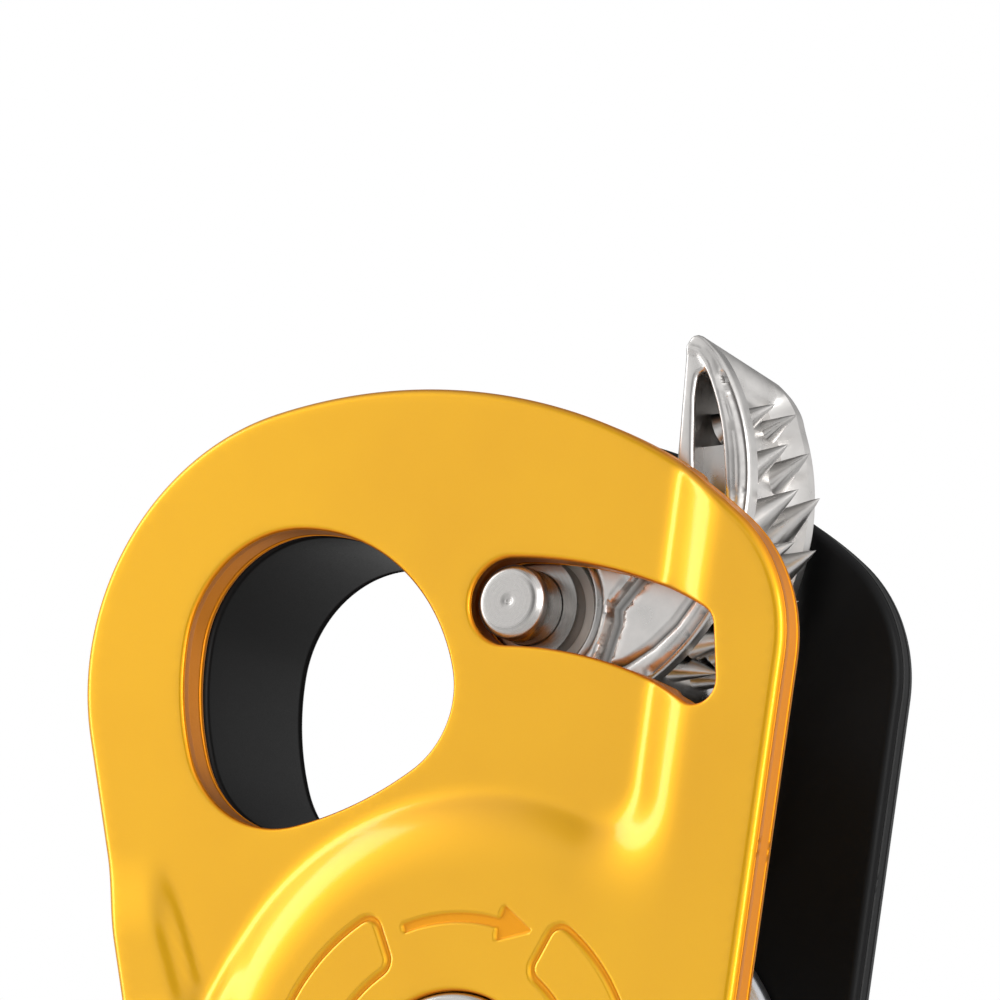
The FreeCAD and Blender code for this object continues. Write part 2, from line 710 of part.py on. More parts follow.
def make_cam_axle():
    """A hollow rivet: collar in front, foot behind, closed at the back."""
    foot_back = flat_face + size.cam_axle_foot_height
    body = turned("cam_axle", [
        (button_bore, collar_front),
        (collar_radius, collar_front),
        (collar_radius, collar_back),
        (cam_axle_radius, collar_back),
        (cam_axle_radius, flat_face),
        (cam_axle_foot_radius, flat_face),
        (cam_axle_foot_radius, foot_back),
        (0, foot_back),
        (0, axle_floor),
        (button_bore, axle_floor),
    ], pivot)
    doc.recompute()
    slit = new_sketch(body, "YZ_Plane", -2 * collar_radius)
    draw_circle(slit, pin_depth, retaining_pin_height, size.retaining_pin_radius)
    cut(body, slit, 4 * collar_radius, True)
    return body


button_waist_radius = size.button_radius - size.button_waist_depth
retaining_pin_height = button_waist_radius + size.retaining_pin_radius + size.running_gap


def make_button():
    edge = size.button_edge
    turned("lock_button", [
        (0, button_face),
        (size.button_radius - edge, button_face),
        (size.button_radius, button_face + edge),
        (size.button_radius, waist_near),
        (button_waist_radius, waist_near),
        (button_waist_radius, waist_far),
        (size.button_radius, waist_far),
        (size.button_radius, button_back),
        (0, button_back),
    ], pivot)
    pin = new_body("button_retaining_pin", pivot)
    sketch = new_sketch(pin, "YZ_Plane", -size.retaining_pin_half)
    draw_circle(sketch, pin_depth, retaining_pin_height, size.retaining_pin_radius)
    extrude(pin, "Pad", sketch, 2 * size.retaining_pin_half)


def make_cam_washer():
    ring("cam_washer", cam_axle_radius + size.running_gap, cam_hub_radius,
         collar_back + size.side_gap, -(size.cam_hub_front + size.side_gap), pivot)


def on_grip(radius, angle):
    """A point around the toothed arc's centre, from the cam axle, its angle from upright."""
    return (size.grip_centre_x + radius * sine(angle), size.grip_centre_z + radius * cosine(angle))


def cam_outline(sketch, radius):
    """Hub, straight heel, toothed arc of the given radius, tip and back of the cam."""
    centre = Vector(size.grip_centre_x.number, size.grip_centre_z.number, 0)
    hub_start_angle = math.radians(size.hub_start.number)
    hub_end_angle = math.radians(size.hub_end.number)
    hub = cam_hub_radius.number
    heel_angle = math.atan2(size.heel_z.number - centre.y, size.heel_x.number - centre.x)
    tip_angle = math.atan2(size.tip_z.number - centre.y, size.tip_x.number - centre.x)
    reach = radius.number

    def around(middle, distance, angle):
        return middle + Vector(math.cos(angle), math.sin(angle), 0) * distance

    zero = Vector(0, 0, 0)
    hub_start, hub_end = around(zero, hub, hub_start_angle), around(zero, hub, hub_end_angle)
    heel, tip = around(centre, reach, heel_angle), around(centre, reach, tip_angle)
    spine = Vector(size.spine_x.number, size.spine_z.number, 0)
    parts = [
        arc_between(zero, hub_start, hub_end),
        Part.LineSegment(hub_end, heel),
        arc_between(centre, heel, tip),
        Part.LineSegment(tip, spine),
        Part.LineSegment(spine, hub_start),
    ]
    ids = [sketch.addGeometry(part) for part in parts]
    for one, after in zip(ids, ids[1:] + ids[:1]):
        sketch.addConstraint(Sketcher.Constraint("Coincident", one, 2, after, 1))
    hub_arc, heel_line, grip_arc, tip_line, spine_line = ids
    fix_point(sketch, hub_arc, 3, 0, 0)
    fix_radius(sketch, hub_arc, cam_hub_radius)
    fix_point(sketch, grip_arc, 3, size.grip_centre_x, size.grip_centre_z)
    fix_radius(sketch, grip_arc, radius)
    fix_point(sketch, spine_line, 1, size.spine_x, size.spine_z)
    for line, corner, x, y in (
        (heel_line, 2, size.heel_x, None),
        (tip_line, 1, size.tip_x, None),
        (hub_arc, 1, hub_start_x, None),
        (hub_arc, 2, hub_end_x, None),
    ):
        constraint = Sketcher.Constraint("DistanceX", -1, 1, line, corner, x.number)
        index = sketch.addConstraint(constraint)
        sketch.setExpression(f"Constraints[{index}]", x.formula)


hub_start_x = cosine(size.hub_start) * cam_hub_radius
hub_end_x = cosine(size.hub_end) * cam_hub_radius


def make_cam():
    """Two cheeks, a toothed block between them, a hub and a slot that clears mud."""
    half = cam_half_width
    body = new_body("cam_body", pivot)
    block = new_sketch(body, "XZ_Plane", half)
    cam_outline(block, size.grip_radius)
    extrude(body, "Pad", block, 2 * half, True)
    doc.recompute()

    groove = new_sketch(body, "XZ_Plane", half - size.cheek_thickness)
    draw_circle(groove, size.grip_centre_x, size.grip_centre_z, size.grip_radius - size.groove_depth)
    draw_circle(groove, size.grip_centre_x, size.grip_centre_z, size.grip_radius + size.tip_x)
    cut(body, groove, 2 * (half - size.cheek_thickness))

    front = new_sketch(body, "XZ_Plane", half)
    draw_circle(front, 0, 0, cam_recess_radius)
    cut(body, front, half - size.cam_hub_front)
    back = new_sketch(body, "XZ_Plane", -half)
    draw_circle(back, 0, 0, cam_recess_radius)
    cut(body, back, half - size.cam_hub_back, True)
    bore = new_sketch(body, "XZ_Plane", half)
    draw_circle(bore, 0, 0, cam_axle_radius + size.running_gap)
    cut(body, bore, 2 * half)

    window = new_sketch(body, "XZ_Plane", half)
    top = size.tip_z - size.window_margin
    foot = size.spine_z + size.tooth_radius / 2
    draw_polygon(window, [
        (size.spine_x + size.window_foot_near, foot),
        (size.spine_x + size.window_foot_far, foot),
        (size.tip_x + size.window_top_far, top),
        (size.tip_x + size.window_top_near, top),
    ])
    cut(body, window, 2 * half)

    socket = new_sketch(body, "XZ_Plane", -half)
    draw_circle(socket, *detent_place, size.detent_ball_radius + size.running_gap)
    cut(body, socket, size.detent_socket, True)
    return add_teeth(body)


detent_place = (
    size.detent_distance * sine(size.detent_angle),
    size.detent_distance * cosine(size.detent_angle),
)
detent_proud = size.detent_track_depth + (inner_face - cam_half_width) - 2 * size.side_gap
ball_depth = cam_half_width + detent_proud - size.detent_ball_radius


# Columns of teeth, in tooth_column distances; a lone tooth sits just off the middle plane.
PAIR, LONE = (-1, 1), (-0.05, )


def add_teeth(body):
    """Cones along the arc, in pairs and singles by turns, fused to the cam."""
    sunk = size.tooth_radius / 2
    root = size.grip_radius - size.groove_depth - sunk
    teeth = []
    for row_index in range(round(size.tooth_rows.number)):
        angle = size.tooth_first + row_index * size.tooth_pitch
        x, z = on_grip(root, angle)
        columns = PAIR if row_index % 2 == 0 else LONE
        for column in columns:
            tooth = doc.addObject("Part::Cone", f"tooth_{row_index}_{len(teeth)}")
            tooth.setExpression("Radius1", size.tooth_radius.formula)
            tooth.setExpression("Radius2", size.tooth_tip_radius.formula)
            tooth.setExpression("Height", (size.tooth_length + sunk).formula)
            tooth.Placement.Rotation = FreeCAD.Rotation(Vector(0, 1, 0), 1)
            tooth.setExpression("Placement.Rotation.Angle", (angle - size.tooth_lean).formula)
            tooth.setExpression("Placement.Base.x", (size.pivot_x + x).formula)
            tooth.setExpression("Placement.Base.y", (column * size.tooth_column).formula)
            tooth.setExpression("Placement.Base.z", (size.pivot_z + z).formula)
            teeth.append(tooth)
    cam = doc.addObject("Part::MultiFuse", "cam")
    cam.Shapes = [body] + teeth
    cam.Label = "cam"
    return cam


def make_detent():
    x, z = size.pivot_x + detent_place[0], size.pivot_z + detent_place[1]
    ball = doc.addObject("Part::Sphere", "detent_ball")
    ball.Label = "detent_ball"
    ball.setExpression("Radius", size.detent_ball_radius.formula)
    ball.setExpression("Placement.Base.x", x.formula)
    ball.setExpression("Placement.Base.y", ball_depth.formula)
    ball.setExpression("Placement.Base.z", z.formula)


# ---------------------------------------------------------------- springs

def coil_spring(name, place, start, length, coil, wire, turns):
    """A compression spring along Y, from start, as a wire swept on a helix."""
    spring = doc.addObject("Part::Feature", name)
    pitch = (length.number - 2 * wire.number) / turns.number
    helix = Part.makeHelix(pitch, pitch * turns.number, coil.number)
    section = Part.Wire(Part.makeCircle(wire.number, Vector(coil.number, 0, 0), Vector(0, 1, 0)))
    spring.Shape = Part.Wire(helix).makePipeShell([section], True, True)
    x, z = place
    base = Vector(as_size(x).number, start.number + wire.number, as_size(z).number)
    spring.Placement = FreeCAD.Placement(base, FreeCAD.Rotation(Vector(1, 0, 0), -90))
    spring.Label = name
    return spring


def make_springs():
    button_room = axle_floor - button_back
    coil_spring("button_spring", pivot_sketch, button_back, button_room,
                size.button_radius - size.button_coil_inset, size.button_wire, size.button_turns)
    cam_room = inner_face - size.cam_hub_back - 4 * size.side_gap
    coil_spring("cam_spring", pivot_sketch, size.cam_hub_back + 2 * size.side_gap, cam_room,
                cam_axle_radius + size.cam_coil_room, size.cam_wire, size.cam_turns)
    socket_floor = cam_half_width - size.detent_socket
    spring_room = ball_depth - size.detent_seat - socket_floor
    place = (size.pivot_x + detent_place[0], size.pivot_z + detent_place[1])
    coil_spring("detent_spring", place, socket_floor, spring_room,
                size.detent_coil, size.detent_wire, size.detent_turns)


# ---------------------------------------------------------------- build, check and write

NODES = [
    "fixed_side_plate", "moving_side_plate", "sheave", "bearing_outer_ring",
    "bearing_inner_ring", "bearing_cage", "bearing_balls", "bearing_seal_front",
    "bearing_seal_rear", "sheave_axle", "slide_washer", "front_spacer", "rear_spacer",
    "cam_axle", "cam", "cam_washer", "cam_spring", "detent_ball", "detent_spring",
    "lock_button", "button_retaining_pin", "button_spring",
]

make_fixed_plate()
make_moving_plate()
make_sheave()
make_bearing()
make_balls()
make_axle()
make_cam_axle()
make_button()
make_cam_washer()
make_cam()
make_detent()
make_springs()
doc.recompute()

for item in doc.Objects:
    if "Invalid" in item.State or "Error" in item.State:
        raise RuntimeError(f"{item.Name} failed: {item.State}")
os.makedirs("parts", exist_ok=True)
for name in NODES:
    shape = doc.getObjectsByLabel(name)[0].Shape
    if shape.isNull() or not shape.isValid() or shape.Volume <= 0:
        raise RuntimeError(f"{name} has no valid shape")
    shape.exportStep(os.path.join("parts", f"{name}.step"))
    print(f"{name}: {shape.Volume:.1f} mm3, {len(shape.Solids)} solid(s)")
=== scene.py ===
"""Finished looks of a rope-clamp pulley, built around its CAD frame.

Every length inside the functions is in millimetres in the frame of the CAD model and is
turned into metres when a mesh is made. The moving plate is at -Y, the fixed one at +Y.
"""

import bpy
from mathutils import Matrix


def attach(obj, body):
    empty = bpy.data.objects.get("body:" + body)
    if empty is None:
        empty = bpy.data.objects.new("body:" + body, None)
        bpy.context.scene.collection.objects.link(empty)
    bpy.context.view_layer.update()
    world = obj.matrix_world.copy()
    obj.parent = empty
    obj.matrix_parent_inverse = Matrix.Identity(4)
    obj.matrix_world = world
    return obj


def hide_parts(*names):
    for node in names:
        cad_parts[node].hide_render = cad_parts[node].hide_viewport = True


bl_info = {
    "name": "Rope-Clamp Pulley",
    "version": (1, 0, 0),
    "blender": (4, 5, 0),
    "location": "3D View > Sidebar > Pulley",
    "description": "Side plates, cam, sheave and small parts of a rope-clamp pulley",
    "category": "Add Mesh",
}

import bpy
import numpy as np
from bpy.props import FloatProperty, FloatVectorProperty, PointerProperty
from mathutils import Matrix, Vector
from mathutils.geometry import delaunay_2d_cdt

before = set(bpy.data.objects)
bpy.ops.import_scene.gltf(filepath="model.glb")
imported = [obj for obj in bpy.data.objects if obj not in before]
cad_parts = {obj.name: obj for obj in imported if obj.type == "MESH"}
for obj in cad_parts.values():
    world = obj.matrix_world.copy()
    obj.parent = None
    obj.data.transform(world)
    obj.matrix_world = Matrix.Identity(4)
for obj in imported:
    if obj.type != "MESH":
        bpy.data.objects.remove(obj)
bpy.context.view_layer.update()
MM = 0.001


def length(name, description, millimetres):
    return FloatProperty(
        name=name, description=description, default=millimetres * MM,
        unit="LENGTH", subtype="DISTANCE", precision=4,
    )


def colour(name, description, red, green, blue):
    return FloatVectorProperty(
        name=name, description=description, default=(red, green, blue),
        subtype="COLOR", size=3, min=0.0, max=1.0,
    )


class PulleyPlateSettings(bpy.types.PropertyGroup):
    """Sizes of the two embossed side plates."""

    sheet: length("Sheet thickness", "Thickness of each side plate", 2.8)
    emboss: length("Emboss", "Height of the raised dome and rope channel", 1.8)
    half_gap: length("Half gap", "From the middle plane to a plate's flat inner face", 5.0)
    dome_radius: length("Dome radius", "Foot of the dome's slope", 20.4)
    dome_slope: length("Dome slope", "Width of the dome's rounded shoulder", 4.8)
    channel_slope: length("Channel slope", "Width of the channel's rounded shoulder", 3.3)
    channel_crease: length("Channel crease", "Width of the hollow at the rope channel's step", 1.9)
    crease: length("Crease", "Width of the hollow at the foot of the slopes", 1.2)
    crease_radius: length("Crease radius", "Corner between the dome and the channel", 3.5)
    edge_radius: length("Edge radius", "Rounding of the outline's edges", 0.62)
    hole_edge: length("Hole edge", "Rounding of the edges of the holes", 0.3)
    grid: length("Grid", "Spacing of the surface mesh", 0.5)
    groove_width: length("Groove width", "Width of the stamped line around each mark", 0.5)
    groove_depth: length("Groove depth", "Depth of that line", 0.22)
    gold: colour("Gold", "Anodised colour of the moving plate", 1.0, 0.515, 0.006)
    # Painted shade and reflection: this deeper orange is mixed into fillets, walls and stamped grooves
    # by the tone.
    gold_edge_shade: colour("Gold edge", "Anodised colour along the cut edges", 1.0, 0.33, 0.012)
    black: colour("Black", "Anodised colour of the fixed plate", 0.004, 0.004, 0.0042)


class PulleyCamSettings(bpy.types.PropertyGroup):
    """Sizes of the toothed cam."""

    half_width: length("Half width", "Half the width of the cam", 4.7)
    grip_radius: length("Grip radius", "Radius of the cheeks along the teeth", 15.2)
    groove_depth: length("Groove depth", "Depth of the rope groove between the cheeks", 1.4)
    cheek: length("Cheek", "Thickness of each cheek", 1.5)
    tooth_radius: length("Tooth radius", "Radius of a tooth at its root", 1.3)
    tooth_length: length("Tooth length", "Length of a tooth", 3.2)
    steel: colour("Cast steel", "Colour of the cast cam", 0.74, 0.72, 0.70)


class PulleySmallPartSettings(bpy.types.PropertyGroup):
    """Finishes of the turned and moulded parts."""

    turned: colour("Turned steel", "Colour of axles and button", 0.62, 0.60, 0.58)
    sheave: colour("Sheave", "Colour of the sheave", 0.62, 0.63, 0.65)
    brass: colour("Brass", "Colour of the ball cage", 0.70, 0.47, 0.16)
    rubber: colour("Rubber", "Colour of the bearing seals", 0.025, 0.025, 0.028)
    plastic: colour("Plastic", "Colour of the washers", 0.68, 0.67, 0.63)


class PulleyStageSettings(bpy.types.PropertyGroup):
    """Camera, floor and lights."""

    camera_place: FloatVectorProperty(
        name="Camera place", description="Where the camera stands",
        default=(0.2338, -0.4141, -0.0652), subtype="TRANSLATION", unit="LENGTH", size=3,
    )
    lens: FloatProperty(name="Lens", description="Focal length in mm", default=265.64)
    floor_drop: length("Floor drop", "How far the floor is below the sheave's centre", 95.0)
    floor: colour("Floor", "Colour of the floor", 0.82, 0.82, 0.82)
    sky: FloatProperty(name="Surround", description="Brightness of the surround", default=1.0)


# ------------------------------------------------------------------ outlines

def arc(centre, radius, first, last, spacing=0.3):
    """Points from angle first to last about a centre, in radians."""
    count = max(3, int(abs(last - first) * radius / spacing) + 1)
    angle = np.linspace(first, last, count)
    return np.stack([centre[0] + radius * np.cos(angle), centre[1] + radius * np.sin(angle)], 1)


def side_between(first, second, radius):
    """Where a tangent line (radius None) or arc touches two corner circles."""
    a, b = np.array(first[:2], float), np.array(second[:2], float)
    gap = np.linalg.norm(b - a)
    along = (b - a) / gap
    left = np.array([-along[1], along[0]])
    if radius is None:
        lean = (first[2] - second[2]) / gap
        outward = along * lean - left * np.sqrt(1 - lean * lean)
        return a + outward * first[2], b + outward * second[2], None
    reach_a, reach_b = radius - first[2], radius - second[2]
    share = (reach_a ** 2 - reach_b ** 2 + gap ** 2) / (2 * gap)
    centre = a + along * share + left * np.sqrt(reach_a ** 2 - share ** 2)
    start = centre + (a - centre) * radius / reach_a
    end = centre + (b - centre) * radius / reach_b
    return start, end, centre


def turn(centre, start, end):
    """Points of the counter-clockwise arc from start to end."""
    first = np.arctan2(start[1] - centre[1], start[0] - centre[0])
    last = np.arctan2(end[1] - centre[1], end[0] - centre[0])
    if last < first:
        last += 2 * np.pi
    return arc(centre, np.hypot(*(start - centre)), first, last)


def spaced(points, spacing):
    """A closed loop resampled at an even spacing."""
    points = np.array(points, float)
    points = points[np.linalg.norm(points - np.roll(points, 1, 0), axis=1) > 1e-6]
    loop = np.vstack([points, points[:1]])
    run = np.concatenate([[0], np.cumsum(np.linalg.norm(np.diff(loop, axis=0), axis=1))])
    count = int(run[-1] / spacing)
    at = np.linspace(0, run[-1], count, endpoint=False)
    return np.stack([np.interp(at, run, loop[:, i]) for i in (0, 1)], 1)


def rounded_loop(corners, sides, spacing=0.35):
    """Corner circles joined by tangent lines or arcs, counter-clockwise."""
    count = len(corners)
    joins = [side_between(corners[i], corners[(i + 1) % count], sides[i]) for i in range(count)]
    points = []
    for i, corner in enumerate(corners):
        start, end, middle = joins[i]
        points += list(turn(np.array(corner[:2]), joins[i - 1][1], start))
        points += [start, end] if middle is None else list(turn(middle, start, end))
    return spaced(points, spacing)


def offset(loop, distance):
    """A closed counter-clockwise loop moved inwards by a distance."""
    ahead, behind = np.roll(loop, -1, 0), np.roll(loop, 1, 0)
    along = ahead - behind
    along /= np.linalg.norm(along, axis=1)[:, None]
    return loop + distance * np.stack([-along[:, 1], along[:, 0]], 1)


def inside(points, loop):
    """Which points are inside a closed loop."""
    x, z = points[:, 0][:, None], points[:, 1][:, None]
    x0, z0 = loop[:, 0][None], loop[:, 1][None]
    x1, z1 = np.roll(loop[:, 0], -1)[None], np.roll(loop[:, 1], -1)[None]
    crosses = (z0 > z) != (z1 > z)
    with np.errstate(divide="ignore", invalid="ignore"):
        at = x0 + (z - z0) * (x1 - x0) / (z1 - z0)
    return (np.sum(crosses & (x < at), axis=1) % 2) == 1


def distance_to(points, line):
    """Distance from each point to the nearest of a line's points."""
    found = np.full(len(points), 1e9)
    for start in range(0, len(points), 4000):
        block = points[start:start + 4000]
        gaps = np.linalg.norm(block[:, None] - line[None], axis=2)
        found[start:start + 4000] = gaps.min(1)
    return found


def smooth(value):
    value = np.clip(value, 0, 1)
    return value * value * (3 - 2 * value)


# ------------------------------------------------------------------ meshes

def make_object(name, body, vertices, faces, material, tones=None, sharp=None):
    """A smooth-shaded object in metres that rides on a CAD body."""
    mesh = bpy.data.meshes.new(name)
    mesh.from_pydata([tuple(v) for v in np.asarray(vertices, float) * MM], [], faces)
    mesh.validate()
    mesh.update()
    mesh.polygons.foreach_set("use_smooth", [True] * len(mesh.polygons))
    # The tone attribute is painted shade and reflection: the material darkens or tints by it.
    if tones is not None:
        layer = mesh.attributes.new("painted_shade_tone", "FLOAT", "POINT")
        layer.data.foreach_set("value", np.asarray(tones, np.float32))
    piece = bpy.data.objects.new(name, mesh)
    bpy.context.scene.collection.objects.link(piece)
    if sharp is not None:
        mesh.set_sharp_from_angle(angle=sharp)
    mesh.materials.append(material)
    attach(piece, body)
    return piece


class Relief:
    """A slab in XZ with shaped faces, rounded edges and holes."""

    def __init__(self, outline, holes, grid, edges, extra=()):
        self.loops = [outline] + [hole[::-1] for hole in holes]
        self.edges = edges
        self.outline, self.holes, self.grid, self.extra = outline, holes, grid, extra

    def face(self, height, part):
        """Points and triangles of one face, with the fillet's drop, the wall's rim and a painted shade
        tone that rises over the fillets.
        """
        edges_of_part = [pair[part] for pair in self.edges]
        steps = np.linspace(0, np.pi / 2, 7)
        rings, points, drops, tones = [], [], [], []
        for loop, edge in zip(self.loops, edges_of_part):
            rows = []
            for angle in steps:
                row = offset(loop, edge * (1 - np.cos(angle)))
                rows.append((len(points), len(row)))
                points += list(row)
                drops += [edge * (1 - np.sin(angle))] * len(row)
                # Painted shade and reflection: the tone rises across each fillet towards the wall,
                # higher around holes.
                painted_wall_shade = 1.0 if loop is self.loops[0] else 1.6
                tones += [painted_wall_shade * (1 - angle / (np.pi / 2))] * len(row)
            rings.append(rows)
        points = np.array(points)
        box_low, box_high = self.outline.min(0), self.outline.max(0)
        xs = np.arange(box_low[0], box_high[0], self.grid)
        zs = np.arange(box_low[1], box_high[1], self.grid * 0.866)
        field = np.array([(x + (i % 2) * self.grid / 2, z) for i, z in enumerate(zs) for x in xs])
        marks = [np.asarray(mark) for mark in self.extra]
        keep = inside(field, self.outline)
        for hole in self.holes:
            keep &= ~inside(field, hole)
        field = field[keep]
        for loop, edge in zip(self.loops, edges_of_part):
            field = field[distance_to(field, loop) > edge + 0.45 * self.grid]
        if marks:
            field = field[distance_to(field, np.vstack(marks)) > 0.55 * self.grid]
            every_mark = np.vstack(marks)
            every_mark = every_mark[inside(every_mark, self.outline)]
            for loop, edge in zip(self.loops, edges_of_part):
                every_mark = every_mark[distance_to(every_mark, loop) > edge + 0.12]
            field = np.vstack([field, every_mark])
        everything = np.vstack([points, field])
        drops = np.array(drops + [0.0] * len(field))
        tones = np.array(tones + [0.0] * len(field))
        edges = []
        for rows in rings:
            for start, count in (rows[0], rows[-1]):
                edges += [(start + i, start + (i + 1) % count) for i in range(count)]
        out = delaunay_2d_cdt([Vector(p) for p in everything], edges, [], 0, 1e-7)
        places = np.array([tuple(v) for v in out[0]])
        origin = [item[0] if item else -1 for item in out[3]]
        triangles = np.array([f for f in out[2] if len(f) == 3])
        middle = places[triangles].mean(1)
        keep = inside(middle, self.outline)
        for hole in self.holes:
            keep &= ~inside(middle, hole)
        triangles = triangles[keep]
        origin = np.array(origin)
        drop, tone = drops[origin], tones[origin]
        level = height(places) - drop
        new_index = {old: new for new, old in enumerate(origin)}
        rims = [[new_index[rows[0][0] + i] for i in range(rows[0][1])] for rows in rings]
        return places, level, tone, triangles, rims

    def build(self, side, front, back, wall=None, wall_rows=4):
        """Vertices and faces; front and back give distances out of the middle plane."""
        vertices, faces, tones, borders = [], [], [], []
        for part, height in enumerate((front, back)):
            sign = 1 if part == 0 else -1
            places, level, tone, triangles, rims = self.face(lambda p: sign * height(p), part)
            start = len(vertices)
            y = side * level * sign
            vertices += list(np.stack([places[:, 0], y, places[:, 1]], 1))
            tones += list(tone)
            flip = (side < 0) != (part == 0)
            for a, b, c in triangles + start:
                faces.append((a, b, c) if not flip else (a, c, b))
            borders.append([[i + start for i in rim] for rim in rims])
        for index, (near, far) in enumerate(zip(*borders)):
            count = len(near)
            rows = [near]
            for step in range(1, wall_rows):
                share = step / wall_rows
                row = []
                for i in range(count):
                    a, b = np.array(vertices[near[i]]), np.array(vertices[far[i]])
                    row.append(len(vertices))
                    vertices.append(a + (b - a) * share)
                    # Painted shade and reflection on the walls: full tone on the outline, higher in
                    # holes.
                    tones.append(1.0 if index == 0 else 1.6)
                rows.append(row)
            rows.append(far)
            if wall is not None:
                loop = self.loops[index]
                inward = offset(loop, 1.0) - loop
                for row in rows[1:-1]:
                    for i, vertex in enumerate(row):
                        x, y, z = vertices[vertex]
                        depth = wall(x, y, z, index)
                        vertices[vertex] = np.array([
                            x + inward[i][0] * depth, y, z + inward[i][1] * depth])
            for upper, lower in zip(rows[:-1], rows[1:]):
                for i in range(count):
                    j = (i + 1) % count
                    quad = (upper[i], upper[j], lower[j], lower[i])
                    faces.append(quad if side < 0 else quad[::-1])
        return np.array(vertices), faces, np.array(tones)


def lathe(profile, centre, segments=96, closed=False):
    """Vertices and faces of (radius, y) points turned about the Y axis through centre."""
    angles = np.linspace(0, 2 * np.pi, segments, endpoint=False)
    vertices = [
        (centre[0] + r * np.cos(a), y, centre[1] + r * np.sin(a))
        for r, y in profile for a in angles
    ]
    faces = []
    rows = len(profile)
    for k in range(rows if closed else rows - 1):
        following = (k + 1) % rows
        for i in range(segments):
            j = (i + 1) % segments
            faces.append((k * segments + i, k * segments + j,
                          following * segments + j, following * segments + i))
    return vertices, faces


def softened(profile, radius, steps=5, closed=False):
    """A profile with each corner rounded."""
    points = [np.array(p, float) for p in profile]
    count = len(points)
    made = []
    for i, point in enumerate(points):
        if not closed and i in (0, count - 1):
            made.append(tuple(point))
            continue
        before, after = points[i - 1], points[(i + 1) % count]
        reach = min(radius, 0.45 * np.linalg.norm(before - point),
                    0.45 * np.linalg.norm(after - point))
        start = point + (before - point) / np.linalg.norm(before - point) * reach
        end = point + (after - point) / np.linalg.norm(after - point) * reach
        for share in np.linspace(0, 1, steps):
            made.append(tuple((1 - share) ** 2 * start + 2 * share * (1 - share) * point
                              + share ** 2 * end))
    return made


def join(parts):
    """One list of vertices and faces from several."""
    vertices, faces = [], []
    for some_vertices, some_faces in parts:
        start = len(vertices)
        vertices += [tuple(v) for v in some_vertices]
        faces += [tuple(i + start for i in face) for face in some_faces]
    return vertices, faces


# ------------------------------------------------------------------ materials

class Finish:
    """A material and short ways to add its nodes."""

    def __init__(self, name, base, metallic, roughness):
        self.material = bpy.data.materials.new(name)
        self.material.use_nodes = True
        self.tree = self.material.node_tree
        self.shader = self.tree.nodes["Principled BSDF"]
        self.shader.inputs["Base Color"].default_value = (*base, 1)
        self.shader.inputs["Metallic"].default_value = metallic
        self.shader.inputs["Roughness"].default_value = roughness
        self.place = self.add("ShaderNodeTexCoord").outputs["Object"]

    def add(self, kind, **settings):
        node = self.tree.nodes.new(kind)
        for key, value in settings.items():
            if isinstance(value, (int, float, tuple)) and key.replace("_", " ") in node.inputs:
                node.inputs[key.replace("_", " ")].default_value = value
            else:
                setattr(node, key, value)
        return node

    def link(self, source, target):
        self.tree.links.new(source, target)

    def stretched(self, scale):
        mapping = self.add("ShaderNodeMapping")
        mapping.inputs["Scale"].default_value = scale
        self.link(self.place, mapping.inputs["Vector"])
        return mapping.outputs["Vector"]

    def noise(self, scale, detail=4.0, stretch=(1, 1, 1)):
        node = self.add("ShaderNodeTexNoise")
        node.inputs["Scale"].default_value = scale
        node.inputs["Detail"].default_value = detail
        self.link(self.stretched(stretch), node.inputs["Vector"])
        return node.outputs["Fac"]

    def remap(self, value, low, high, start=0.0, end=1.0):
        node = self.add("ShaderNodeMapRange")
        for key, number in zip(("From Min", "From Max", "To Min", "To Max"),
                               (start, end, low, high)):
            node.inputs[key].default_value = number
        self.link(value, node.inputs["Value"])
        return node.outputs["Result"]

    def mix(self, share, first, second):
        node = self.add("ShaderNodeMix", data_type="RGBA")
        self.link(share, node.inputs["Factor"])
        for socket, value in ((node.inputs["A"], first), (node.inputs["B"], second)):
            socket = next(s for s in node.inputs if s.name == socket.name and s.type == "RGBA")
            if isinstance(value, tuple):
                socket.default_value = (*value, 1)
            else:
                self.link(value, socket)
        return next(s for s in node.outputs if s.type == "RGBA")

    def attribute(self, name):
        node = self.add("ShaderNodeAttribute")
        node.attribute_name = name
        return node.outputs["Fac"]

    def bump(self, heights):
        """Stacks bumps given as (height, strength, distance in mm)."""
        before = None
        for height, strength, distance in heights:
            node = self.add("ShaderNodeBump")
            node.inputs["Strength"].default_value = strength
            node.inputs["Distance"].default_value = distance * MM
            self.link(height, node.inputs["Height"])
            if before is not None:
                self.link(before, node.inputs["Normal"])
            before = node.outputs["Normal"]
        self.link(before, self.shader.inputs["Normal"])


def tinted(base, factor):
    return tuple(min(1.0, part * factor) for part in base)


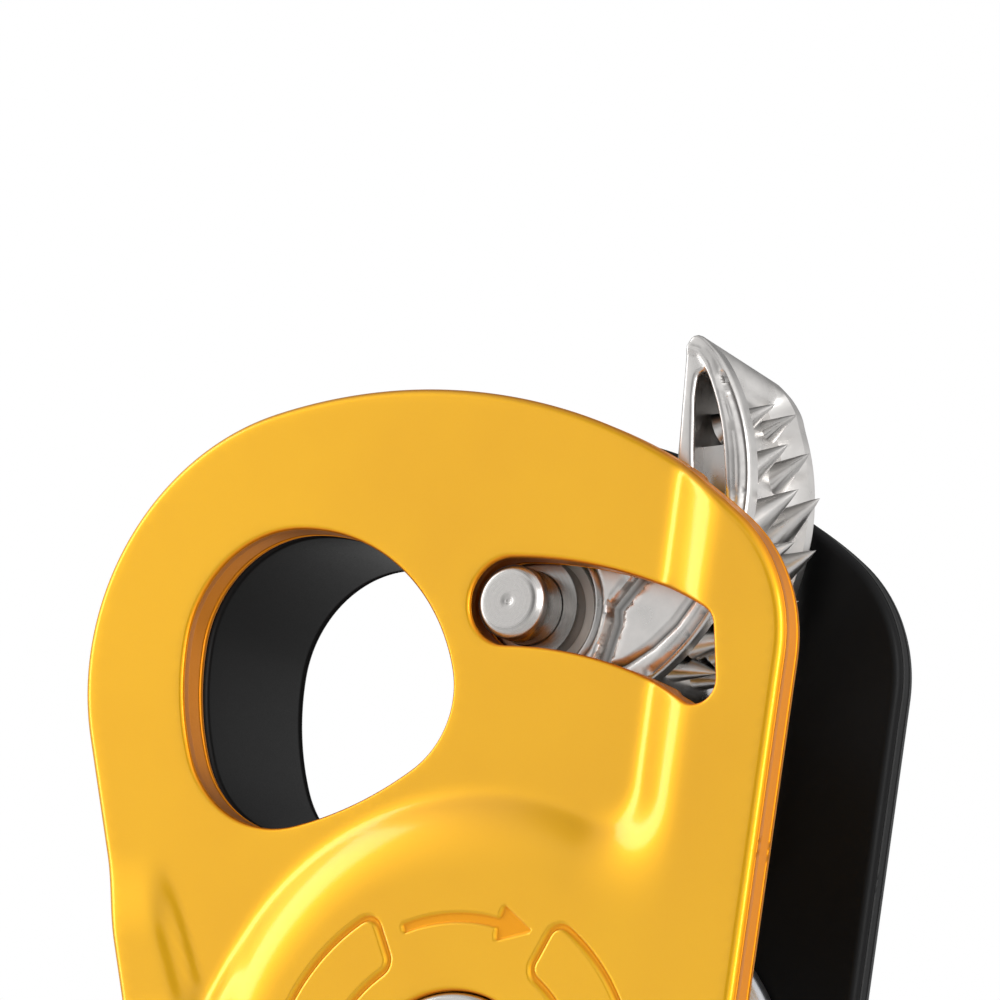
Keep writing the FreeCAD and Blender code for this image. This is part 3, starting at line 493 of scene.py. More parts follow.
def anodised(name, base, edge, metallic, roughness, coat, fleck):
    """Satin anodised sheet: fine grain, faint drawing lines, and the edge colour mixed in by the tone
    as painted shade and reflection on fillets, hole walls and grooves.
    """
    finish = Finish(name, base, metallic, roughness)
    finish.shader.inputs["Coat Weight"].default_value = coat
    finish.shader.inputs["Coat Roughness"].default_value = 0.13
    finish.shader.inputs["Specular IOR Level"].default_value = 0.17
    grain = finish.noise(9000, 3)
    lines = finish.noise(700, 2, (0.12, 1, 6))
    cloud = finish.noise(70, 3)
    shade = finish.mix(finish.remap(cloud, 0, 1, 0.35, 0.65), tinted(base, 0.96), tinted(base, 1.03))
    # Painted shade and reflection: the tone mixes the edge colour into fillets and grooves, and a
    # darker copy into hole walls.
    tone = finish.attribute("painted_shade_tone")
    finish.link(finish.remap(tone, coat, 0.1 * coat), finish.shader.inputs["Coat Weight"])
    rim = finish.mix(finish.remap(tone, 0, 0.9, 0.3, 0.9), shade, edge)
    painted_hole_shade = finish.mix(finish.remap(tone, 0, 0.8, 1.0, 1.6), rim, tinted(edge, 0.75))
    finish.link(painted_hole_shade, finish.shader.inputs["Base Color"])
    finish.link(finish.remap(grain, roughness - 0.03, roughness + 0.05, 0.35, 0.65),
                finish.shader.inputs["Roughness"])
    finish.bump([(grain, fleck, 0.01), (lines, fleck * 2, 0.01)])
    return finish.material


def turned_metal(name, base, roughness, centre):
    """Lathe-turned steel: fine rings about an axis along Y."""
    finish = Finish(name, base, 1.0, roughness)
    mapping = finish.add("ShaderNodeMapping")
    mapping.inputs["Location"].default_value = (-centre[0] * MM, 0, -centre[1] * MM)
    mapping.inputs["Scale"].default_value = (1, 0.25, 1)
    finish.link(finish.place, mapping.inputs["Vector"])
    rings = finish.add("ShaderNodeTexWave")
    rings.wave_type, rings.rings_direction = "RINGS", "SPHERICAL"
    rings.inputs["Scale"].default_value = 1500
    rings.inputs["Distortion"].default_value = 0.6
    rings.inputs["Detail"].default_value = 2
    finish.link(mapping.outputs["Vector"], rings.inputs["Vector"])
    speck = finish.noise(5000, 3)
    finish.link(finish.mix(finish.remap(speck, 0, 1, 0.3, 0.7), tinted(base, 0.96), tinted(base, 1.03)),
                finish.shader.inputs["Base Color"])
    finish.link(finish.remap(rings.outputs["Fac"], roughness - 0.03, roughness + 0.04),
                finish.shader.inputs["Roughness"])
    finish.bump([(rings.outputs["Fac"], 0.05, 0.01), (speck, 0.008, 0.01)])
    return finish.material


def cast_metal(name, base, roughness):
    """Investment-cast steel, tumbled: a fine pebbled skin, darkened by the tone as painted shade in the
    grooves, on the web and on the teeth's upper sides.
    """
    finish = Finish(name, base, 1.0, roughness)
    pebble = finish.noise(2600, 4)
    cloud = finish.noise(450, 4)
    skin = finish.mix(finish.remap(cloud, 0, 1, 0.3, 0.7), tinted(base, 0.82), tinted(base, 1.1))
    # Painted shade: the tone mixes a near-black copy of the colour into grooves, web and teeth.
    finish.link(finish.mix(finish.attribute("painted_shade_tone"), skin, tinted(base, 0.12)),
                finish.shader.inputs["Base Color"])
    finish.link(finish.remap(cloud, roughness - 0.06, roughness + 0.08, 0.3, 0.7),
                finish.shader.inputs["Roughness"])
    finish.bump([(pebble, 0.08, 0.03), (cloud, 0.06, 0.05)])
    return finish.material


def moulded(name, base, roughness, scale=3500, spread=0.15, relief=0.2):
    """Moulded rubber or plastic with a fine matt texture."""
    finish = Finish(name, base, 0.0, roughness)
    speck = finish.noise(scale, 4)
    cloud = finish.noise(300, 2)
    finish.link(finish.mix(finish.remap(cloud, 0, 1, 0.3, 0.7), tinted(base, 1 - spread),
                           tinted(base, 1 + spread)),
                finish.shader.inputs["Base Color"])
    finish.link(finish.remap(speck, roughness - 0.06, roughness + 0.08, 0.3, 0.7),
                finish.shader.inputs["Roughness"])
    finish.bump([(speck, relief, 0.02)])
    return finish.material


def finish_node(node, material):
    """Gives a carried-over CAD node its material."""
    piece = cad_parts[node]
    piece.data.materials.clear()
    piece.data.materials.append(material)
    for polygon in piece.data.polygons:
        polygon.material_index = 0


# ------------------------------------------------------------------ shapes of this pulley

PLATE_CORNERS = [(-1.95, 0, 21.5), (13.8, 28.4, 10.7), (-11.3, 29.7, 17.6)]
PLATE_SIDES = [None, 41, None]
HOLE_CORNERS = [(-13.5, 26.4, 7.3), (-6.55, 27.35, 6), (-13, 31, 8)]
HOLE_SIDES = [25, 13, 18]
PIVOT = np.array([3.6, 32.5])
SLOT_HALF_WIDTH = 2.9
SLOT_SWING = np.radians(24)


def plate_outline():
    return rounded_loop(PLATE_CORNERS, PLATE_SIDES, 0.4)


def hole_outline(spacing=0.35):
    return rounded_loop(HOLE_CORNERS, HOLE_SIDES, spacing)


def circle(centre, radius, spacing=0.35):
    return spaced(arc(centre, radius, 0, 2 * np.pi, 0.1)[:-1], spacing)


def from_upright(radius, angle):
    return np.array([radius * np.sin(angle), radius * np.cos(angle)])


def slot_outline():
    """The button's slot about the sheave's centre, wider at its far end."""
    reach = np.hypot(*PIVOT)
    start = np.arctan2(PIVOT[0], PIVOT[1])
    end = start + SLOT_SWING
    corner = 1.5
    spread = SLOT_HALF_WIDTH - corner
    low_angle, high_angle = end + np.radians(5), end + np.radians(1.5)
    low = from_upright(reach - spread, low_angle)
    high = from_upright(reach + spread, high_angle)
    touch_low, touch_high, _ = side_between((*low, corner), (*high, corner), None)
    inner, outer = reach - SLOT_HALF_WIDTH, reach + SLOT_HALF_WIDTH
    points = list(turn(PIVOT, from_upright(outer, start), from_upright(inner, start)))
    points += [from_upright(inner, a) for a in np.linspace(start, low_angle, 60)[1:-1]]
    points += list(turn(low, from_upright(inner, low_angle), touch_low))
    points += list(turn(high, touch_high, from_upright(outer, high_angle)))
    points += [from_upright(outer, a) for a in np.linspace(high_angle, start, 60)[1:-1]]
    return spaced(points, 0.3)


def raised(points, plates):
    """How far inside the raised area each point is, without and with the left channel."""
    x, z = points[:, 0], points[:, 1]
    radius = plates.crease_radius / MM
    lean = np.radians(8.9)
    dome = np.hypot(x, z) - plates.dome_radius / MM
    channel = -((x - 11.8) - (z - 12.5) * np.tan(lean)) * np.cos(lean)
    left = 0.95 * (x + 20.2 + 0.32 * (z - 10.7))

    def together(a, b, r):
        corner = np.hypot(np.maximum(r - a, 0), np.maximum(r - b, 0))
        return np.maximum(r, np.minimum(a, b)) - corner

    main = together(dome, channel, radius)
    return -main, -together(main, left, 2.2)


def swell(depth, crease, shoulder):
    """Share of the emboss height: a hollow foot, then a rounded shoulder."""
    whole = crease + shoulder
    depth = np.clip(depth + 0.35 * crease, 0, whole)
    foot = depth ** 2 / (crease * whole)
    return np.where(depth < crease, foot, 1 - (whole - depth) ** 2 / (shoulder * whole))


def annular_mark(inner, outer, first, last, corner=0.9):
    """A closed mark between two radii and two angles from upright, in degrees."""
    first, last = np.radians(first), np.radians(last)
    turn_inner, turn_outer = corner / inner, corner / outer
    points = []
    corners = [
        (outer - corner, first + turn_outer, (outer, first + turn_outer)),
    ]
    spots = [
        (inner + corner, first + turn_inner), (outer - corner, first + turn_outer),
        (outer - corner, last - turn_outer), (inner + corner, last - turn_inner),
    ]
    directions = [
        (np.pi, 1.5 * np.pi), (1.5 * np.pi, 2 * np.pi), (0, 0.5 * np.pi), (0.5 * np.pi, np.pi),
    ]
    for (radius, angle), (start, end) in zip(spots, directions):
        centre = from_upright(radius, angle)
        outward = from_upright(1, angle)
        across = np.array([outward[1], -outward[0]])
        for share in np.linspace(start, end, 8):
            points.append(centre + corner * (np.cos(share) * outward + np.sin(share) * across))
    arcs = []
    quarter = 8
    for k in range(4):
        arcs += points[k * quarter:(k + 1) * quarter]
        if k in (1, 3):
            radius = outer if k == 1 else inner
            begin = spots[k][1]
            finish = spots[(k + 1) % 4][1]
            arcs += [from_upright(radius, a) for a in np.linspace(begin, finish, 30)[1:-1]]
    return spaced(arcs, 0.3)


def stamped_marks():
    """Two rounded fields beside the axle and a turning arrow above it."""
    right = annular_mark(9.8, 13.65, 37, 118)
    left = annular_mark(9.8, 13.65, -118, -23.5)
    band_top = [from_upright(12.05, np.radians(a)) for a in np.linspace(-15.5, 19, 24)]
    band_low = [from_upright(11.5, np.radians(a)) for a in np.linspace(19, -15.5, 24)]
    head = [from_upright(12.95, np.radians(19.5)), from_upright(12.15, np.radians(31)),
            from_upright(10.7, np.radians(20))]
    arrow = spaced((band_top + head + band_low)[::-1], 0.15)
    return [right, left], arrow


def groove_lines(mark, width):
    """Rows of mesh points along and beside a stamped line."""
    return [offset(mark, width * share) for share in (-0.85, -0.5, -0.3, 0, 0.3, 0.5, 0.85)]


def mark_share(points, marks, arrow, width):
    """How deep in a stamped outline or the sunk arrow each point is, from 0 to 1."""
    gap = np.full(len(points), 1e9)
    for mark in marks:
        gap = np.minimum(gap, distance_to(points, spaced(mark, 0.06)))
    beside = distance_to(points, spaced(arrow, 0.04))
    sunk = np.where(inside(points, arrow), 1.0, 1 - smooth(beside / 0.12))
    return np.maximum(1 - smooth((gap - 0.27 * width) / (0.23 * width)), sunk)


def plate_surfaces(plates, marks):
    """Distances of a plate's outer and inner face from the middle plane."""
    flat = (plates.half_gap + plates.sheet) / MM
    inner = plates.half_gap / MM
    emboss = plates.emboss / MM

    def outer_face(points):
        x, z = points.T
        main, whole = raised(points, plates)
        beside = smooth((x - 0.35 * z - 4) / 6) * smooth((z - 8) / 8)
        width = plates.dome_slope / MM + (plates.channel_slope - plates.dome_slope) / MM * beside
        foot = plates.crease / MM + (plates.channel_crease - plates.crease) / MM * beside
        strip = smooth((-15.5 - x) / 2.5)
        low = swell(main, foot, width)
        high = swell(whole, foot + (0.7 - foot) * strip, width + (1.4 - width) * strip)
        channel = (1 - smooth((z - 12.5) / 6.0)) * (1 - 0.55 * smooth((z - 2) / 7))
        height = flat + emboss * (low + (high - low) * channel)
        if marks:
            share = mark_share(points, *marks, plates.groove_width / MM)
            height = height - plates.groove_depth / MM * share
        return height

    def inner_face(points):
        return inner + emboss * smooth((raised(points, plates)[0] - 0.7) / 1.6)

    return outer_face, inner_face


# ------------------------------------------------------------------ operators

# Dark flags around the pulley: direction, cosines where one starts and is full, its level.
FLAGS = [
    ((-0.02, -0.98, 0.2), 0.93, 0.985, 0.25),
    ((0.05, -0.47, 0.88), 0.91, 0.975, 0.45),
    ((-0.965, 0.14, 0.22), 0.92, 0.975, 0.4),
]


class PULLEY_OT_stage(bpy.types.Operator):
    """Add the camera, a pale floor and soft studio light."""

    bl_idname = "pulley.stage"
    bl_label = "Stage"

    def execute(self, context):
        stage = context.scene.pulley_stage
        scene = context.scene
        camera = bpy.data.objects.new("camera", bpy.data.cameras.new("camera"))
        scene.collection.objects.link(camera)
        right = Vector((0.8695, 0.4939, 0.0))
        up = Vector((0.1077, -0.1896, 0.9759))
        back = Vector((0.4820, -0.8486, -0.2181))
        turn_matrix = Matrix((right, up, back)).transposed().to_4x4()
        camera.matrix_world = Matrix.Translation(Vector(stage.camera_place)) @ turn_matrix
        camera.data.lens = stage.lens
        camera.data.sensor_width = 36
        camera.data.clip_start, camera.data.clip_end = 0.01, 20
        scene.camera = camera
        scene.view_settings.view_transform = "Standard"

        size = 3.0
        floor_mesh = bpy.data.meshes.new("floor")
        drop = -stage.floor_drop
        floor_mesh.from_pydata(
            [(-size, -size, drop), (size, -size, drop), (size, size, drop), (-size, size, drop)],
            [], [(0, 1, 2, 3)])
        floor = bpy.data.objects.new("floor", floor_mesh)
        scene.collection.objects.link(floor)
        floor_mesh.materials.append(moulded("pale_floor", tuple(stage.floor), 0.6, 400, 0.01, 0.01))

        world = bpy.data.worlds.new("studio")
        world.use_nodes = True
        scene.world = world
        nodes, links = world.node_tree.nodes, world.node_tree.links
        background = nodes["Background"]
        place = nodes.new("ShaderNodeTexCoord")
        facing = nodes.new("ShaderNodeVectorMath")
        facing.operation = "DOT_PRODUCT"
        facing.inputs[1].default_value = (-0.2, 0.6, 0.77)
        shift = nodes.new("ShaderNodeMapRange")
        shift.inputs["From Min"].default_value = -1
        ramp = nodes.new("ShaderNodeValToRGB")
        links.new(place.outputs["Generated"], facing.inputs[0])
        links.new(facing.outputs["Value"], shift.inputs["Value"])
        links.new(shift.outputs["Result"], ramp.inputs["Fac"])
        stops = ramp.color_ramp.elements
        stops[0].position, stops[0].color = 0.725, (0.89, 0.89, 0.89, 1)
        stops[1].position, stops[1].color = 1.0, (0.18, 0.18, 0.18, 1)
        for position, level in ((0.84, 0.75), (0.93, 0.4)):
            stops.new(position).color = (level, level, level, 1)
        level = None
        for facing_flag, start, end, shade in FLAGS:
            toward = nodes.new("ShaderNodeVectorMath")
            toward.operation = "DOT_PRODUCT"
            toward.inputs[1].default_value = facing_flag
            links.new(place.outputs["Generated"], toward.inputs[0])
            flag = nodes.new("ShaderNodeMapRange")
            flag.interpolation_type = "SMOOTHSTEP"
            for key, number in zip(("From Min", "From Max", "To Min", "To Max"),
                                   (start, end, 1.0, shade)):
                flag.inputs[key].default_value = number
            links.new(toward.outputs["Value"], flag.inputs["Value"])
            if level is None:
                level = flag.outputs["Result"]
                continue
            both = nodes.new("ShaderNodeMath")
            both.operation = "MULTIPLY"
            links.new(level, both.inputs[0])
            links.new(flag.outputs["Result"], both.inputs[1])
            level = both.outputs["Value"]
        shaded = nodes.new("ShaderNodeVectorMath")
        shaded.operation = "SCALE"
        links.new(ramp.outputs["Color"], shaded.inputs[0])
        links.new(level, shaded.inputs["Scale"])
        path = nodes.new("ShaderNodeLightPath")
        mix = nodes.new("ShaderNodeMix")
        mix.data_type = "RGBA"
        links.new(path.outputs["Is Camera Ray"], mix.inputs[0])
        links.new(shaded.outputs["Vector"], mix.inputs[6])
        mix.inputs[7].default_value = (1, 1, 1, 1)
        links.new(mix.outputs[2], background.inputs["Color"])
        background.inputs["Strength"].default_value = stage.sky

        self.softbox(scene, "left_softbox", (-0.59, -0.27, 0.27), (0.22, 0.62), 1.15)
        self.softbox(scene, "right_softbox", (0.7, -0.35, 0.15), (0.2, 0.5), 2.0)
        return {"FINISHED"}

    def softbox(self, scene, name, place, size, power):
        lamp = bpy.data.lights.new(name, "AREA")
        lamp.shape, lamp.size, lamp.size_y = "RECTANGLE", size[0], size[1]
        lamp.energy = power
        light = bpy.data.objects.new(name, lamp)
        scene.collection.objects.link(light)
        light.location = place
        aim = Vector((0.0, 0.0, 0.015)) - Vector(place)
        light.rotation_euler = aim.to_track_quat("-Z", "Y").to_euler()


class PULLEY_OT_moving_plate(bpy.types.Operator):
    """Build the gold moving side plate with its dome, rope channel and stamped marks."""

    bl_idname = "pulley.moving_plate"
    bl_label = "Moving plate"

    def execute(self, context):
        plates = context.scene.pulley_plates
        marks = stamped_marks()
        fields, arrow = marks
        holes = [hole_outline(), slot_outline(), circle((0, 0), 7.06)]
        lines = [line for mark in fields for line in groove_lines(mark, plates.groove_width / MM)]
        lines += [offset(arrow, gap) for gap in (-0.25, -0.12, 0.0, 0.12)]
        rim, hole_rim = plates.edge_radius / MM, plates.hole_edge / MM
        edges = [(rim, rim)] + [(hole_rim, hole_rim)] * len(holes)
        relief = Relief(plate_outline(), holes, plates.grid / MM, edges, lines)
        outer_face, inner_face = plate_surfaces(plates, marks)
        vertices, faces, tones = relief.build(-1, outer_face, inner_face)
        # Painted shade in the stamped grooves and sunk arrow of the outer face.
        share = mark_share(vertices[:, [0, 2]], *marks, plates.groove_width / MM)
        in_front = vertices[:, 1] < -(plates.half_gap + plates.sheet / 2) / MM
        tones = np.maximum(tones, 0.7 * share * in_front)
        gold = anodised("gold_anodised", tuple(plates.gold), tuple(plates.gold_edge_shade),
                        1.0, 0.42, 0.9, 0.006)
        piece = make_object("gold_side_plate", "moving_plate", vertices, faces, gold,
                            tones)
        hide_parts("moving_side_plate")
        return {"FINISHED"}


class PULLEY_OT_fixed_plate(bpy.types.Operator):
    """Build the black fixed side plate and the boss around the attachment hole."""

    bl_idname = "pulley.fixed_plate"
    bl_label = "Fixed plate"

    def execute(self, context):
        plates = context.scene.pulley_plates
        holes = [hole_outline(), circle((0, 0), 5.45)]
        rim, hole_rim = plates.edge_radius / MM, plates.hole_edge / MM
        edges = [(2 * rim, rim), (hole_rim, hole_rim / 2), (hole_rim, hole_rim)]
        relief = Relief(plate_outline(), holes, plates.grid / MM * 1.3, edges)
        outer_face, inner_face = plate_surfaces(plates, None)
        vertices, faces, tones = relief.build(1, outer_face, inner_face)
        # The lighter edge colour is a painted reflection on the black plate's fillets and hole walls.
        black = anodised("black_anodised", tuple(plates.black), tinted(plates.black, 1.6),
                         0.0, 0.42, 0.0, 0.12)
        piece = make_object("black_side_plate", "frame", vertices, faces, black,
                            tones)
        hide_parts("fixed_side_plate")
        boss_vertices, boss_faces = boss_wall()
        make_object("attachment_boss", "frame", boss_vertices, boss_faces, black,
                    np.zeros(len(boss_vertices)), sharp=0.9)
        return {"FINISHED"}


def boss_wall():
    """The wall around the attachment hole, open towards the rope and the cam."""
    loop = hole_outline(0.4)
    outward = loop - offset(loop, 1.0)
    loop = loop - 0.01 * outward
    reach = np.full(len(loop), 2.4)
    for step in np.linspace(0, 2.4, 49):
        spot = loop + outward * step
        blocked = (np.hypot(spot[:, 0], spot[:, 1]) < 24.0)
        blocked |= (spot[:, 0] > -1.0) & (spot[:, 1] < 32.5)
        blocked |= np.hypot(*(spot - PIVOT).T) < 4.5
        reach = np.minimum(reach, np.where(blocked, step, 2.4))
    open_from = np.flatnonzero(reach < 0.3)
    first = open_from[0]
    order = np.roll(np.arange(len(loop)), -first)
    keep = [i for i in order if reach[i] >= 0.3]
    front, back, edge = -4.75, 6.6, 0.45
    vertices, faces = [], []
    profile_steps = np.linspace(0, np.pi / 2, 5)
    for i in keep:
        inner, outer = loop[i], loop[i] + outward[i] * reach[i]
        wide = min(edge, reach[i] * 0.4)
        section = [(0.0, back)]
        section += [(wide * (1 - np.cos(a)), front + wide * (1 - np.sin(a))) for a in profile_steps]
        section += [(reach[i] - wide * (1 - np.sin(a)), front + wide * (1 - np.cos(a)))
                    for a in profile_steps]
        section += [(reach[i], back)]
        for out, y in section:
            spot = loop[i] + outward[i] * out
            vertices.append((spot[0], y, spot[1]))
    across = len(section)
    for row in range(len(keep) - 1):
        for k in range(across - 1):
            a = row * across + k
            faces.append((a, a + 1, a + across + 1, a + across))
    faces.append(tuple(range(across))[::-1])
    faces.append(tuple((len(keep) - 1) * across + k for k in range(across)))
    return vertices, faces


class PULLEY_OT_sheave(bpy.types.Operator):
    """Build the grooved sheave with rounded flanges."""

    bl_idname = "pulley.sheave"
    bl_label = "Sheave"

    def execute(self, context):
        parts = context.scene.pulley_parts
        profile = [
            (9.5, -3.2), (11.3, -3.2), (14.5, -6.4), (17.0, -6.4), (17.0, -5.3), (13.6, -3.35),
            (12.5, -2.2), (12.5, 2.2), (13.6, 3.35), (17.0, 5.3), (17.0, 6.4), (14.5, 6.4),
            (11.3, 3.2), (9.5, 3.2),
        ]
        vertices, faces = lathe(softened(profile, 0.45, closed=True), (0, 0), 144, True)
        material = turned_metal("sheave_alloy", tuple(parts.sheave), 0.28, (0, 0))
        piece = make_object("grooved_sheave", "sheave", vertices, faces, material,
                            sharp=0.7)
        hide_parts("sheave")
        return {"FINISHED"}


class PULLEY_OT_axle(bpy.types.Operator):
    """Build the sheave's riveted axle with its turned head."""

    bl_idname = "pulley.axle"
    bl_label = "Sheave axle"

    def execute(self, context):
        parts = context.scene.pulley_parts
        profile = [
            (0.001, -9.45), (2.0, -9.5), (2.35, -9.7), (5.9, -9.85), (6.7, -9.75), (7.0, -9.35),
            (7.0, -8.65), (4.0, -8.65), (4.0, 8.6), (5.4, 8.6), (5.4, 9.3), (5.1, 9.6),
            (1.7, 9.6), (1.4, 9.3), (0.001, 9.25),
        ]
        vertices, faces = lathe(softened(profile, 0.25), (0, 0), 96)
        material = turned_metal("turned_axle", tuple(parts.turned), 0.24, (0, 0))
        piece = make_object("riveted_axle", "frame", vertices, faces, material,
                            sharp=0.6)
        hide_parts("sheave_axle")
        return {"FINISHED"}


class PULLEY_OT_button(bpy.types.Operator):
    """Build the lock button with its chamfer, turning rings and centre mark."""

    bl_idname = "pulley.button"
    bl_label = "Lock button"

    def execute(self, context):
        parts = context.scene.pulley_parts
        profile = [
            (0.001, -7.66), (0.16, -7.67), (0.3, -7.76), (0.55, -7.8), (1.75, -7.8), (2.05, -7.74),
            (2.45, -7.35), (2.45, -4.2), (1.85, -4.2), (1.85, -0.3), (2.45, -0.3), (2.45, 0.8),
            (0.001, 0.8),
        ]
        vertices, faces = lathe(softened(profile, 0.12), PIVOT, 72)
        material = turned_metal("turned_button", tuple(parts.turned), 0.26, PIVOT)
        piece = make_object("turned_button", "button", vertices, faces, material,
                            sharp=0.7)
        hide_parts("lock_button")
        return {"FINISHED"}


def on_grip(radius, angle):
    """A point of the toothed arc, from the sheave's centre; the angle is from upright."""
    return PIVOT + np.array([0.9, 7.5]) + from_upright(radius, angle)


def cam_outline(cam):
    """Hub, heel, toothed arc, tip and spine of the cam, counter-clockwise."""
    radius = cam.grip_radius / MM
    centre = PIVOT + np.array([0.9, 7.5])
    heel_angle = np.arctan2(-5.6 - 7.5, 7.4 - 0.9)
    tip_angle = np.arctan2(16.6 - 7.5, 11.2 - 0.9)
    points = list(arc(PIVOT, 5.3, np.radians(85), np.radians(285)))
    points += list(arc(centre, radius, heel_angle, tip_angle - 0.16))
    points += [PIVOT + np.array(p) for p in (
        (12.6, 16.9), (12.15, 17.05), (11.7, 16.85), (11.45, 16.4), (11.25, 14.2), (10.85, 10.0),
        (10.5, 7.0), (9.6, 5.6), (6.5, 5.0), (3.0, 5.0))]
    loop = spaced(points, 0.3)
    for _ in range(2):
        loop = (np.roll(loop, 1, 0) + 2 * loop + np.roll(loop, -1, 0)) / 4
    return spaced(loop, 0.3)


def along_line(points, spacing=0.15):
    points = np.array(points, float)
    run = np.concatenate([[0], np.cumsum(np.linalg.norm(np.diff(points, axis=0), axis=1))])
    at = np.linspace(0, run[-1], int(run[-1] / spacing) + 2)
    return np.stack([np.interp(at, run, points[:, i]) for i in (0, 1)], 1) + PIVOT


RING_LINE = [(5.2 * np.cos(a), 5.2 * np.sin(a)) for a in np.linspace(-2.2, 1.6, 30)]
ZIGZAG = [(9.6, 2.6), (7.65, 0.9), (6.15, -0.6), (6.15, -1.5), (5.3, -3.7), (4.6, -5.2)]
PAD_EDGE = [(13.4, 2.6), (11.9, -0.6), (10.6, -2.1), (8.9, -3.4), (6.9, -4.4), (5.6, -4.6)]
RIM_LINE = [(0.9 + 14.75 * np.sin(a), 7.5 + 14.75 * np.cos(a))
            for a in np.radians(np.linspace(64, 148, 40))]
BAR_RIB = [(11.75, 16.05), (12.5, 15.75), (13.1, 14.9), (13.75, 13.0), (14.25, 11.0),
           (14.5, 8.8), (14.6, 5.5)]
WINDOW = [(12.1, 4.2), (13.9, 4.2), (14.25, 6.9), (14.1, 10.0), (13.75, 12.0), (13.25, 13.6),
          (12.85, 14.45), (12.3, 14.4), (12.05, 12.9), (11.95, 9.0)]
WEB_TOP = 9.7


def cam_face(cam):
    """Depth of the cheek's face: hub recess, grooves, pad and ribs."""
    half = cam.half_width / MM
    zigzag, pad_edge = along_line(ZIGZAG), along_line(PAD_EDGE)
    ring_line, rim_line, bar_rib = along_line(RING_LINE), along_line(RIM_LINE), along_line(BAR_RIB)

    def height(points):
        x, z = (points - PIVOT).T
        level = np.full(len(points), half)
        hub = np.hypot(x, z)
        level -= 1.4 * (1 - smooth((hub - 4.3) / 0.45))
        level -= 0.12 * (1 - smooth((distance_to(points, ring_line) - 0.05) / 0.15))
        level -= 0.75 * (1 - smooth((distance_to(points, zigzag) - 0.38) / 0.3))
        level -= 0.22 * (1 - smooth((distance_to(points, pad_edge) - 0.1) / 0.22))
        level -= 0.35 * (1 - smooth((distance_to(points, rim_line) - 0.1) / 0.15))
        level += 0.18 * (1 - smooth((distance_to(points, bar_rib) - 0.1) / 0.3))
        return level

    return height


def cam_hollows(points):
    """How deep in a groove of the cheek each point is, from 0 to 1."""
    share = np.zeros(len(points))
    for line, half in ((ZIGZAG, 0.5), (PAD_EDGE, 0.2), (RIM_LINE, 0.22), (RING_LINE, 0.12)):
        beside = distance_to(points, along_line(line, 0.05))
        share = np.maximum(share, 1 - smooth(beside / half))
    return share


def tooth(base, tip, radius):
    """One cast spike: a ridged cone with a dull point, with painted shade on its upper side."""
    segments, rows = 14, 8
    axis = tip - base
    size = np.linalg.norm(axis)
    axis = axis / size
    across = np.cross(axis, [0, 1, 0])
    across /= np.linalg.norm(across)
    side = np.cross(axis, across)
    vertices, tones = [], []
    for row in range(rows):
        share = row / (rows - 1)
        wide = radius * (1 - share) ** 1.08 + 0.1 * np.sqrt(max(0, 1 - share ** 6))
        for k in range(segments):
            angle = 2 * np.pi * k / segments
            ridge = 1 + 0.10 * np.cos(3 * angle)
            spot = np.cos(angle) * across + np.sin(angle) * side
            vertices.append(base + axis * size * share + wide * ridge * spot)
            # Painted shade on the upper side of the spike.
            tones.append(0.85 * smooth(0.15 + 0.85 * np.cos(angle)))
    faces = []
    for row in range(rows - 1):
        for k in range(segments):
            j = (k + 1) % segments
            faces.append((row * segments + k, row * segments + j,
                          (row + 1) * segments + j, (row + 1) * segments + k))
    faces.append(tuple((rows - 1) * segments + k for k in range(segments)))
    return vertices, faces, tones


TOOTH_TIPS = [
    (72.0, 16.2, 66), (82.5, 16.5, 63), (93, 17.1, 62), (104.5, 17.3, 70),
    (116, 17.2, 80), (127, 17.0, 92), (138, 16.7, 103),
]


def cam_teeth(cam):
    """Pairs of spikes along the arc, leaning to the tip."""
    parts = []
    for place, reach, lean in TOOTH_TIPS:
        tip_x, tip_z = on_grip(reach, np.radians(place))
        back_x, back_z = from_upright(cam.tooth_length / MM + 0.9, np.radians(lean))
        for column in (-1, 1):
            tip = np.array([tip_x, column * 1.5, tip_z])
            base = np.array([tip_x - back_x, column * 1.75, tip_z - back_z])
            parts.append(tooth(base, tip, cam.tooth_radius / MM))
    return parts


